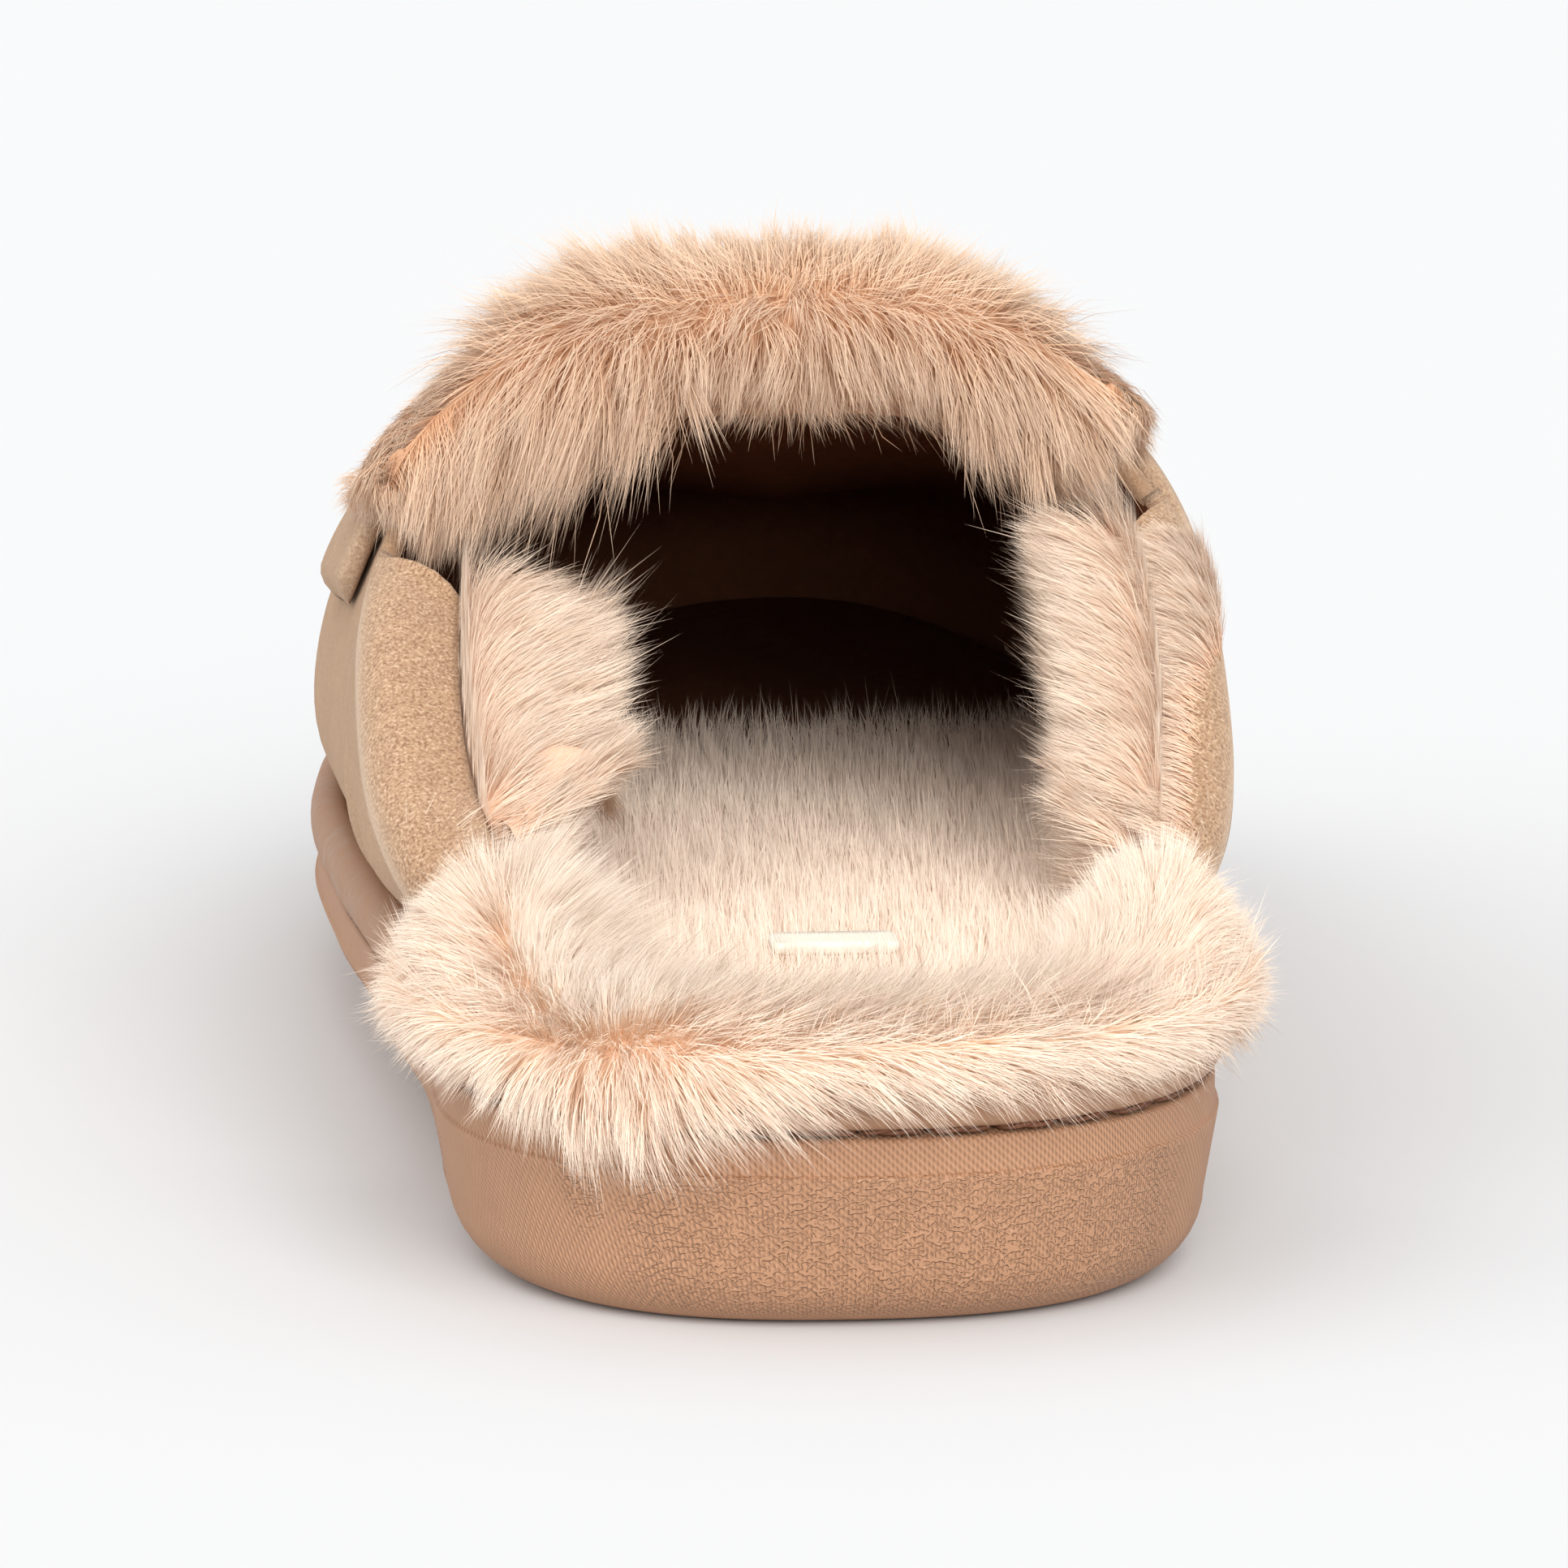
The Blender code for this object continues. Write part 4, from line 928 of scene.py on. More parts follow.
def upper_surface(side, ridge_station, angle):
    """Superellipse arch: rise is sine to a power, pull to the ridge is one less cosine to that power,
    plus a bulge along the outline's normal that grows above the welt and fades to the ridge."""
    k = np.asarray(ridge_station, dtype=float)
    a = np.asarray(angle, dtype=float)
    bx, by, nx, ny = feather(side, k)
    foot = through(SOLE_ROWS, "wall_top", by) + GAP
    ridge_z = through(RIDGE_ROWS, "height", k)
    ridge_x = through(RIDGE_ROWS, "shift", k)
    bulge = through(RIDGE_ROWS, "bulge", k)
    sine = np.clip(np.sin(a), 0.0, 1.0)
    cosine = np.clip(np.cos(a), 0.0, 1.0)
    z = foot + (ridge_z - foot) * sine**FULLNESS
    pull = 1.0 - cosine**FULLNESS
    above = np.maximum(z - foot - WELT_HEIGHT, 0.0) / BULGE_HEIGHT
    out = bulge * (1.0 - np.exp(-(above**BULGE_ONSET))) * cosine**BULGE_FADE
    x = bx + (ridge_x - bx) * pull + nx * out
    y = by + (k - by) * pull + ny * out
    return vectors(x, y, z)


def upper_normal(side, ridge_station, angle):
    """Cross product of small steps along and up the face; near the ridge it lies in the foot's plane."""
    k = np.asarray(ridge_station, dtype=float)
    a = np.asarray(angle, dtype=float)
    inner = np.clip(a, 2.0 * ANGLE_STEP, math.radians(88.0))
    ahead = k + STATION_STEP
    behind = k - STATION_STEP
    along = upper_surface(side, ahead, inner) - upper_surface(side, behind, inner)
    up = upper_surface(side, k, inner + ANGLE_STEP) - upper_surface(side, k, inner - ANGLE_STEP)
    normal = unit(np.cross(along, up) * side)
    rise = through(RIDGE_ROWS, "height", ahead) - through(RIDGE_ROWS, "height", behind)
    slope = rise / (2.0 * STATION_STEP)
    flat = vectors(0.0, -slope, 1.0)
    near = blend(math.radians(80.0), math.radians(90.0), a)[..., None]
    return unit(normal * (1.0 - near) + unit(flat) * near)


def angle_at_height(side, ridge_station, height):
    """Angle at which a column reaches a height: the arch's rise turned round."""
    _, by, _, _ = feather(side, ridge_station)
    foot = through(SOLE_ROWS, "wall_top", by) + GAP
    ridge = through(RIDGE_ROWS, "height", ridge_station)
    share = np.clip((height - foot) / (ridge - foot), 0.0, 1.0)
    return np.arcsin(share ** (1.0 / FULLNESS))


def even_angles(low, high, shares):
    """Angles spaced evenly by the arch's polar angle, whose tangent is the angle's to the fullness."""
    first = np.arctan(np.tan(np.minimum(low, 1.5707)) ** FULLNESS)
    last = np.arctan(np.tan(np.minimum(high, 1.5707963)) ** FULLNESS)
    polar = first + (last - first) * shares
    full = np.arctan(np.tan(polar) ** (1.0 / FULLNESS))
    return np.where(shares >= 1.0, high + 0.0 * polar, full)


print("height of the ridge at the throat:", through(RIDGE_ROWS, "height", THROAT).round(1), "mm")

# %% Collar, fold and creases
FOLD_RADIUS = 4.6
FOLD_TURN = math.radians(98.0)
FOLD_FLAT = {1: 2.0, -1: 5.0}
FOLD_FADE = (91.0, 99.5)
FOLD_LEAST = 0.12
FOLD_STEPS = 12
WALL_ROWS = 44
QUARTER_COLUMNS = 48
THROAT_COLUMNS = 16
VAMP_COLUMNS = 84
SIDE_NAMES = {1: "medial", -1: "lateral"}

CreaseRow = namedtuple("CreaseRow", "station slant low high width depth")
CREASES = (
    CreaseRow(158.0, 9.0, 0.30, 0.88, 3.4, 0.75),
    CreaseRow(171.0, 15.0, 0.22, 0.86, 3.0, 0.9),
    CreaseRow(183.0, 20.0, 0.18, 0.80, 2.8, 0.7),
    CreaseRow(194.0, 26.0, 0.15, 0.62, 2.6, 0.5),
    CreaseRow(92.0, -26.0, 0.22, 0.70, 3.6, 0.8),
    CreaseRow(78.0, -20.0, 0.20, 0.62, 3.0, 0.6),
)


def creases(side, stations, shares):
    """Depth of the soft troughs: a bell across each slanted line, faded in and out along it, with a low
    ridge behind it where the suede is pushed up."""
    depth = np.zeros(np.broadcast(stations, shares).shape)
    for row in CREASES:
        middle = row.station + row.slant * (0.5 - shares) * (1.0 + 0.12 * side)
        off = (stations - middle) / row.width
        reach = blend(row.low - 0.12, row.low + 0.1, shares) * blend(row.high + 0.1, row.high - 0.12, shares)
        depth += row.depth * reach * (np.exp(-(off**2)) - 0.55 * np.exp(-((off + 1.9) ** 2)))
    return depth


def collar_columns(side):
    """Ridge stations of the columns of one side and the angle where each ends: quarter, throat, vamp."""
    quarter = np.linspace(REAR, QUARTER_END, QUARTER_COLUMNS)
    ends = angle_at_height(side, quarter, through(QUARTER_ROWS, SIDE_NAMES[side], quarter))
    turn = np.linspace(0.0, math.pi / 2.0, THROAT_COLUMNS + 1)[1:]
    throat = QUARTER_END + (THROAT - QUARTER_END) * np.sin(turn)
    throat_ends = math.pi / 2.0 - (math.pi / 2.0 - ends[-1]) * np.cos(turn)
    vamp = np.linspace(THROAT, RIDGE_END, VAMP_COLUMNS + 1)[1:]
    stations = np.concatenate([quarter, throat, vamp])
    return stations, np.concatenate([ends, throat_ends, np.full_like(vamp, math.pi / 2.0)])


def collar_frame(side, stations, ends):
    """Collar edge with the outward direction and the direction that leaves the wall."""
    edge = upper_surface(side, stations, ends)
    normal = upper_normal(side, stations, ends)
    along = unit(np.gradient(edge, axis=0))
    return edge, normal, unit(np.cross(normal, along) * side)


def turned_edge(side, stations, edge, normal, leave):
    """Fold of the collar: an arc from the wall's own direction inwards, then a short straight flap."""
    share = (1.0 - (1.0 - FOLD_LEAST) * blend(*FOLD_FADE, stations))[:, None]
    turn = FOLD_TURN * share * np.arange(1, FOLD_STEPS + 1) / FOLD_STEPS
    out = FOLD_RADIUS * np.sin(turn)
    inward = FOLD_RADIUS * (1.0 - np.cos(turn))
    arc = edge[:, None] + leave[:, None] * out[..., None] - normal[:, None] * inward[..., None]
    last = turn[:, -1:, None]
    heading = leave[:, None] * np.cos(last) - normal[:, None] * np.sin(last)
    flap = np.linspace(0.0, 1.0, 6)[1:]
    flat = arc[:, -1:] + heading * (FOLD_FLAT[side] * share * flap)[..., None]
    return np.concatenate([arc, flat], axis=1)


# %% Upper mesh
def make_upper_mesh():
    """Sheet of both sides: wall columns from welt to collar or ridge, and the fold along the quarters."""
    points = []
    patches = []
    bands = []
    crests = []
    count = 0
    for side in (1, -1):
        stations, ends = collar_columns(side)
        shares = np.linspace(0.0, 1.0, WALL_ROWS + 1) ** 1.1
        angles = even_angles(0.0 * ends[:, None] + 1e-6, ends[:, None], shares[None])
        wall = upper_surface(side, stations[:, None], angles)
        depth = creases(side, stations[:, None], shares[None])
        wall = wall - upper_normal(side, stations[:, None], angles) * depth[..., None]
        edge, normal, leave = collar_frame(side, stations, ends)
        few = slice(0, QUARTER_COLUMNS)
        fold = turned_edge(side, stations[few], edge[few], normal[few], leave[few])
        grid = number_grid(wall, count)
        lip = number_grid(fold, count + grid.size)
        lip = np.concatenate([grid[few, -1:], lip], axis=1)
        count += grid.size + fold[..., 0].size
        half = 0.0 if side > 0 else 0.5
        patches.append(patch(grid, flat_map(*grid.shape, (0.0, half), (1.0, half + 0.38)), flip=side < 0))
        patches.append(patch(lip, flat_map(*lip.shape, (0.0, half + 0.38), (0.4, half + 0.5)), flip=side < 0))
        points += [wall.reshape(-1, 3), fold.reshape(-1, 3)]
        quarter = blend(QUARTER_END + 4.0, QUARTER_END - 10.0, stations)[:, None]
        bands += [(quarter * blend(0.90, 1.0, shares)[None]).ravel(), np.ones(fold[..., 0].size)]
        crest_row = np.arange(1, fold.shape[1] + 1)
        crests += [(quarter * np.exp(-(((1.0 - shares) / 0.035) ** 2))[None]).ravel()]
        crests += [np.tile(np.exp(-((crest_row / 2.6) ** 2)), (fold.shape[0], 1)).ravel()]
    mesh = lay_mesh("upper", np.concatenate(points), patches)
    note(mesh, "band", np.concatenate(bands))
    note(mesh, "crest", np.concatenate(crests))
    weld(mesh)
    return mesh


# %% [markdown]
# Brushed suede has a crumb of raised fibres, strongest on the turned band, with painted shade in the gaps
# and painted highlights on the tips; its crest is paler.
# A painted mask could say where that is. Two numbers noted on the mesh, band and crest, do it here, so the
# mask follows the shape when a size in the tables changes.


# %% Suede and lining finishes
def make_suede(name, paler_crest_share=0.55):
    """Napped suede: mottled tan, a crumb of painted shade and highlight that is strongest on the turned band,
    a paler crest.
    """
    material, tree, shader = new_finish(name, 0.92, Specular_IOR_Level=0.15, Sheen_Weight=0.30)
    shader.inputs["Sheen Roughness"].default_value = 0.6
    shader.inputs["Sheen Tint"].default_value = tone(1.0, 0.86, 0.72)
    band = add_node(tree, "ShaderNodeAttribute")
    band.attribute_name = "band"
    crest = add_node(tree, "ShaderNodeAttribute")
    crest.attribute_name = "crest"
    spot, drift = mottled(tree, (0.41, 0.246, 0.139), 55.0, 0.3)
    strength = maths(tree, "ADD", maths(tree, "MULTIPLY", band.outputs["Fac"], 0.65), 0.35)
    # the nap's Gap colour is painted shade between the grains, its Tip colour a painted highlight on them
    nap = use_group(
        tree,
        NAP,
        Vector=spot,
        Base=drift.outputs["Color"],
        Gap=tone(0.24, 0.12, 0.06),
        Tip=tone(0.63, 0.44, 0.295),
        Size=2900.0,
        Depth=strength,
    )
    # the crest is mixed towards a paler tan
    crest_paling = maths(tree, "MULTIPLY", crest.outputs["Fac"], paler_crest_share)
    crest_paled = mix(tree, crest_paling, nap.outputs["Color"], tone(0.72, 0.56, 0.42))
    tree.links.new(crest_paled, shader.inputs["Base Color"])
    tree.links.new(ramp(tree, nap.outputs["Height"], -0.6, 0.8), shader.inputs["Roughness"])
    add_relief(tree, shader, nap.outputs["Height"], 0.6, 0.0006)
    return material


def make_lining_finish():
    """Smooth dark inside of the shell: brown cloth with a fine weave."""
    material, tree, shader = new_finish("inner lining", 0.95, Specular_IOR_Level=0.05)
    spot, colour = mottled(tree, (0.20, 0.078, 0.038), 80.0, 0.3)
    tree.links.new(colour.outputs["Color"], shader.inputs["Base Color"])
    weave = add_node(tree, "ShaderNodeTexVoronoi", Vector=spot, Scale=1400.0)
    add_relief(tree, shader, weave.outputs["Distance"], 0.3, 0.0002)
    return material


lining_finish = make_lining_finish()
upper = add_piece("suede_upper", make_upper_mesh(), [make_suede("suede"), lining_finish], "upper")
shell = upper.modifiers.new("wall", "SOLIDIFY")
shell.thickness = WALL * MM
shell.offset = -1.0
shell.use_even_offset = True
shell.material_offset = 1
shell.material_offset_rim = 0

# %% [markdown]
# ## The instep strap
# A second layer of suede lies across the instep under the cuff; its rounded ends stand clear at the
# sides. It uses the upper's own surface, so it lies on it exactly: a rounded section carried over the
# instep, thinning at both ends.

# %% Strap
STRAP_REAR = 113.5
STRAP_FRONT = 150.0
STRAP_THICK = 2.8
STRAP_END = {-1: 52.0, 1: 55.0}
STRAP_ROUND = 0.42
STRAP_THIN_FROM = 0.965
STRAP_THIN_OVER = 0.036
STRAP_STEPS = 70
STRAP_SECTION = 36


def over_instep(ends, station, steps):
    """Angles of the two legs of a path over the instep, lateral leg up and medial leg down."""
    shares = np.linspace(0.0, 1.0, steps + 1)
    legs = {}
    for side in (-1, 1):
        low = angle_at_height(side, np.array(station), ends[side])
        legs[side] = even_angles(low, math.pi / 2.0, shares)
    return legs[-1], legs[1][-2::-1]


def station_at(side, angle, along):
    """Ridge station of the column that, at an angle, lies a wanted distance along the foot."""
    station = along
    for _ in range(8):
        station = station + along - upper_surface(side, station, angle)[..., 1]
    return station


def squared(waves, power):
    """Waves between -1 and 1 raised to a power with their sign kept: a small power squares a circle."""
    return np.sign(waves) * np.abs(waves) ** power


def make_strap_mesh():
    """Superellipse section, wide along the foot and thin off the face, carried over the instep."""
    turn = np.arange(STRAP_SECTION) * 2.0 * math.pi / STRAP_SECTION
    wide = squared(np.cos(turn), 0.22)
    tall = 0.5 + 0.5 * squared(np.sin(turn), 0.55)
    middle = (STRAP_REAR + STRAP_FRONT) / 2.0
    half = (STRAP_FRONT - STRAP_REAR) / 2.0
    legs = over_instep(STRAP_END, STRAP_REAR, STRAP_STEPS)
    total = len(legs[0]) + len(legs[1])
    done = 0
    rows = []
    for side, angles in zip((-1, 1), legs):
        number = done + np.arange(len(angles))
        done += len(angles)
        end = np.abs(2.0 * number / (total - 1) - 1.0)[:, None]
        narrow = 1.0 - STRAP_ROUND * end**30
        past = np.maximum(end - STRAP_THIN_FROM, 0.0) / STRAP_THIN_OVER
        thin = np.sqrt(np.clip(1.0 - past, 0.02, 1.0))
        along = middle + half * narrow * wide
        station = station_at(side, angles[:, None], along)
        face = upper_surface(side, station, angles[:, None])
        normal = upper_normal(side, station, angles[:, None])
        rows.append(face + normal * (GAP + STRAP_THICK * tall * thin)[..., None])
    points = np.concatenate(rows)
    index = number_grid(points)
    caps = [index[:1, ::-1], index[-1:]]
    index = wrapped(index)
    patches = [patch(index, flat_map(*index.shape), flip=True)]
    patches += [(cap[:, ::-1], np.full((1, STRAP_SECTION, 2), 0.5)) for cap in caps]
    mesh = lay_mesh("strap", points.reshape(-1, 3), patches)
    edge = np.abs(np.tile(wide, (len(points), 1))) ** 10
    # the strap's rounded edges get a paler crest
    note(mesh, "band", 0.3 + 0.6 * edge)
    note(mesh, "crest", 0.7 * edge)
    return mesh


strap_finish = make_suede("strap suede", 0.35)
add_piece("suede_strap", make_strap_mesh(), [strap_finish], "instep_strap")

# %% [markdown]
# ## Deep pile
# The cuff, the two quarter pads, the heel collar and the insole carry pile six to ten millimetres long.
# Particle hair would look the part, but it is lost when the model is exported, so every strand is a
# thin tapering strip in one mesh: it starts steep at the skin, bends over along the way it is combed,
# and leans towards the middle of its lock. A body under the strands keeps the form of the solid. The
# strands glow a little from behind, and that glow is left out of the sampling of lamps, because so many
# small lamps would slow the render down.


# %% Skin grids that the pile grows on
def skin_of(points, closed):
    """Grid of points with its normals and its two running directions; closed grids wrap round."""
    if closed:
        ring = np.concatenate([points[:, -2:], points, points[:, :2]], axis=1)
        across = np.gradient(ring, axis=1)[:, 2:-2]
    else:
        across = np.gradient(points, axis=1)
    along = np.gradient(points, axis=0)
    return {"points": points, "along": unit(along), "across": unit(across), "closed": closed}


def outward(skin, away):
    """Normals of a skin, turned so that most of them point away from its middle line."""
    normal = unit(np.cross(skin["along"], skin["across"]))
    turn = np.sign((normal * away).sum())
    skin["normal"] = normal * turn
    skin["turn"] = turn
    return skin


def rounded_ends(points, rows, bulge):
    """The form with its two ends drawn together: extra sections that shrink on a quarter circle."""
    turn = np.linspace(0.0, math.pi / 2.0, rows + 1)[1:] * 0.985
    caps = []
    for end, way in ((0, -1.0), (-1, 1.0)):
        section = points[end]
        heading = unit(points[end].mean(axis=0) - points[end + int(-way)].mean(axis=0))
        middle = section.mean(axis=0)
        shrunk = middle + (section - middle)[None] * np.cos(turn)[:, None, None]
        caps.append(shrunk + heading * (bulge * np.sin(turn))[:, None, None])
    return np.concatenate([caps[0][::-1], points, caps[1]])


def on_skin(skin, key, u, v):
    """Value of a skin's grid at fractional row u and column v, mixed from the four corners."""
    grid = skin[key]
    rows, columns = grid.shape[:2]
    i = np.clip(u.astype(int), 0, rows - 2)
    j = v.astype(int) % columns if skin["closed"] else np.clip(v.astype(int), 0, columns - 2)
    k = (j + 1) % columns
    a = (u - i)[:, None]
    b = (v - np.floor(v))[:, None] if skin["closed"] else (v - j)[:, None]
    near = grid[i, j] * (1.0 - b) + grid[i, k] * b
    far = grid[i + 1, j] * (1.0 - b) + grid[i + 1, k] * b
    return near * (1.0 - a) + far * a


def scatter(skin, count, weight, rng):
    """Rows and columns of random roots, as many per area as the weight asks."""
    points = skin["points"]
    columns = points.shape[1] if skin["closed"] else points.shape[1] - 1
    after = np.roll(points, -1, axis=1)[:, :columns]
    here = points[:, :columns]
    size = np.linalg.norm(np.cross(here[1:] - here[:-1], after[:-1] - here[:-1]), axis=-1)
    chance = (size * weight[: size.shape[0], :columns]).ravel()
    cells = rng.choice(chance.size, size=count, p=chance / chance.sum())
    return cells // columns + rng.random(count), cells % columns + rng.random(count)


# %% [markdown]
# A strand is a short curve from its root. Strands near each other form a lock: they share a sway, a length
# and a shade and are drawn together at their tips, which is what makes pile look combed. All strands of a
# piece are worked out at once as arrays.

# %% Strands
PileRow = namedtuple("PileRow", "count length width lock_size gather wild")
PILES = {
    "heel": PileRow(58000, 7.4, 0.10, 1.5, 0.24, 0.8),
    "cuff": PileRow(56000, 10.0, 0.11, 2.2, 0.36, 1.15),
    "pad": PileRow(32000, 7.4, 0.10, 1.5, 0.18, 0.6),
    "rim": PileRow(12000, 6.2, 0.10, 1.6, 0.2, 0.6),
    "insole": PileRow(40000, 6.6, 0.11, 1.9, 0.25, 1.0),
}
# glow: share of its colour that a strand seen from behind emits, painted light
ToneRow = namedtuple("ToneRow", "root middle tip glow")
TONES = {
    "heel": ToneRow((0.90, 0.64, 0.45), (0.87, 0.69, 0.55), (0.84, 0.71, 0.59), 0.10),
    "cuff": ToneRow((0.64, 0.365, 0.21), (0.65, 0.44, 0.295), (0.70, 0.525, 0.39), 0.13),
    "pad": ToneRow((0.82, 0.55, 0.38), (0.79, 0.60, 0.455), (0.775, 0.63, 0.505), 0.08),
    "insole": ToneRow((0.92, 0.67, 0.49), (0.88, 0.695, 0.55), (0.84, 0.705, 0.585), 0.0),
}
STRAND_RINGS = np.array([0.0, 0.52, 1.0])
STRAND_TAPER = np.array([1.0, 0.75, 0.0])
SOFTNESS = 0.9
GLOW = 0.56
GLOW_UP = 0.46
FACES_TOE = 0.35
FACES_SIDE = 0.45
SEEN_FROM_TOE = np.array([0.0, 0.8, 0.6])
SEEN_FROM_HEEL = np.array([0.0, -0.8, 0.6])
CONVEX = 0.7
STRAY_SHARE = 0.08
STRAY_TURN = 2.6
LONG_SHARE = 0.06
LONG_MORE = 1.3
HASH = (73856093, 19349663, 83492791)
HASH_STEP = 2654435761
HASH_STEPS = 1009


def locks_of(roots, size, rng):
    """Lock number of each root: the nearest of jittered centres in a cube grid of the given size."""
    cell = np.floor(roots / size).astype(np.int64)
    salt = rng.integers(1, 2**31, 3)
    best = np.full(len(roots), np.inf)
    name = np.zeros(len(roots), dtype=np.int64)
    for shift in np.ndindex(3, 3, 3):
        near = cell + np.array(shift) - 1
        code = np.bitwise_xor.reduce(near * np.array(HASH), axis=1)
        mixed = (code[:, None] * HASH_STEP + salt) >> 7
        jitter = mixed % HASH_STEPS / HASH_STEPS
        far = (((near + jitter) * size - roots) ** 2).sum(axis=1)
        closer = far < best
        best = np.where(closer, far, best)
        name = np.where(closer, code, name)
    return np.unique(name, return_inverse=True)[1]


def mean_by(lock, values):
    """Mean of the values of each lock's strands."""
    share = np.bincount(lock)
    sums = [np.bincount(lock, weights=column) for column in values.T]
    return np.stack(sums, axis=1) / share[:, None]


def turned(vectors, axes, angle):
    """Vectors turned about axes at right angles to them."""
    return vectors * np.cos(angle)[:, None] + np.cross(axes, vectors) * np.sin(angle)[:, None]


def strand_path(root, normal, lay, length, lift, droop):
    """Quadratic path: leaves the skin at a steep lift and ends at a low one, drooping under its weight."""
    steep, low = lift
    start = unit(normal * np.sin(steep)[:, None] + lay * np.cos(steep)[:, None])
    end = normal * np.sin(low)[:, None] + lay * np.cos(low)[:, None]
    end = unit(end - droop[:, None] * np.array([0.0, 0.0, 1.0]))
    t = STRAND_RINGS[None, :, None]
    return root[:, None] + length[:, None, None] * (t * start[:, None] + 0.5 * t * t * (end - start)[:, None])


# %% Growing strands
def grow(skin, row, comb, seed, weight, keep_clear=None):
    """Points and faces of strips grown on a skin by a row of PILES. Each strip follows its own path, pulled
    towards its lock's path by the gather times the distance along it; wild sets how far locks and strands
    stray."""
    rng = np.random.default_rng(seed)
    count = row.count
    wild = row.wild
    u, v = scatter(skin, count, weight, rng)
    root = on_skin(skin, "points", u, v)
    normal = unit(on_skin(skin, "normal", u, v))
    rows, columns = skin["points"].shape[:2]
    lay, steep, low, reach, droop = comb(root, normal, u / rows, v / columns)
    lay = lay - normal * (lay * normal).sum(axis=1, keepdims=True)
    lay = unit(lay + 1e-4 * rng.normal(size=lay.shape))
    lock = locks_of(root, row.lock_size, rng)
    locks = lock.max() + 1
    sway = rng.normal(0.0, 0.20 * wild, locks)[lock]
    stray = np.where(rng.random(count) < STRAY_SHARE, STRAY_TURN, 1.0)
    lay = turned(lay, normal, sway + rng.normal(0.0, 0.18 * wild, count) * stray)
    tall = (1.0 + rng.normal(0.0, 0.10, locks))[lock] * rng.uniform(0.72, 1.15, count)
    tall = tall * np.where(rng.random(count) < LONG_SHARE, LONG_MORE, 1.0)
    rise = rng.normal(0.0, 0.10 * wild, locks)[lock]
    long = row.length * reach * tall
    steep = np.clip(steep + rise + rng.normal(0.0, 0.10, count), 0.05, 1.55)
    low = low + rise + rng.normal(0.0, 0.12, count) * stray
    own = strand_path(root, normal, lay, long, (steep, low), droop)
    middle = [mean_by(lock, values)[lock] for values in (root, normal, lay)]
    even = [mean_by(lock, values[:, None])[lock][:, 0] for values in (long, steep, low, droop)]
    shared = strand_path(middle[0], unit(middle[1]), unit(middle[2]), even[0], (even[1], even[2]), even[3])
    pull = (row.gather * STRAND_RINGS**1.4)[None, :, None]
    path = own + (shared - own) * pull
    waves = rng.normal(0.0, 0.30 * wild, (count, 1, 3)) * (STRAND_RINGS**1.2)[None, :, None]
    path = path + waves * np.sin(rng.uniform(0.0, 6.28, (count, 1, 1)) + 4.0 * STRAND_RINGS[None, :, None])
    if keep_clear:
        path = keep_clear(path)
    return strips(path, normal, normal - CONVEX * lay, lock, row.width, rng)


# %% Strips and bodies
def strips(path, normal, outer, lock, width, rng):
    """Two edge points at each ring but the last, which is the tip; the strip faces the outer side of
    its bend, tilted a little at random, and never away from the side its skin is seen from: outside on
    the flanks, toe or open heel elsewhere. Its map has shade across and the way from root to tip upwards.
    Its shading normal leans towards the skin's, that side and up, as light that soaks through real pile
    evens it out."""
    count = len(path)
    heading = unit(np.gradient(path, axis=1))
    facing = outer + rng.normal(0.0, 0.35, normal.shape)
    side = unit(np.cross(heading, facing[:, None]))
    seen = np.where(normal[:, 1:2] > FACES_TOE, SEEN_FROM_TOE, SEEN_FROM_HEEL)
    outside = (path[:, 0, :1] * normal[:, :1] > 0.0) & (np.abs(normal[:, :1]) > FACES_SIDE)
    seen = np.where(outside, normal, seen)
    away = (np.cross(side, heading).mean(axis=1) * seen).sum(axis=1) < 0.0
    side = np.where(away[:, None, None], -side, side)
    reach = width * rng.uniform(0.7, 1.3, count)[:, None, None] * STRAND_TAPER[None, :, None] / 2.0
    left = (path - side * reach)[:, :-1]
    right = (path + side * reach)[:, :-1]
    edge = np.stack([left, right], axis=2).reshape(count, -1, 3)
    points = np.concatenate([edge, path[:, -1:]], axis=1)
    size = points.shape[1]
    base = (np.arange(count) * size)[:, None]
    rungs = 2 * np.arange(len(STRAND_RINGS) - 2)[:, None] + np.array([0, 1, 3, 2])
    quads = (base[:, :, None] + rungs[None]).reshape(-1, 4)
    tips = base + np.array([size - 3, size - 2, size - 1])
    shade = 0.5 + rng.normal(0.0, 0.09, lock.max() + 1)[lock] + rng.normal(0.0, 0.15, count)
    shade = np.clip(shade, 0.03, 0.97)
    sides = np.array([-0.004, 0.004])
    spots = np.empty((count, size, 2))
    spots[:, :-1, 0] = shade[:, None] + np.tile(sides, len(STRAND_RINGS) - 1)[None]
    spots[:, -1, 0] = shade
    spots[:, :-1, 1] = np.repeat(STRAND_RINGS[:-1], 2)[None]
    spots[:, -1, 1] = 1.0
    spots = spots.reshape(-1, 2)
    glow = GLOW * seen[:, None] + np.array([0.0, 0.0, GLOW_UP])
    soft = unit(normal[:, None] * SOFTNESS + np.cross(side, heading) + glow)
    soft = np.concatenate([np.repeat(soft[:, :-1], 2, axis=1), soft[:, -1:]], axis=1)
    return points.reshape(-1, 3), [(quads, spots[quads]), (tips, spots[tips])], soft.reshape(-1, 3)


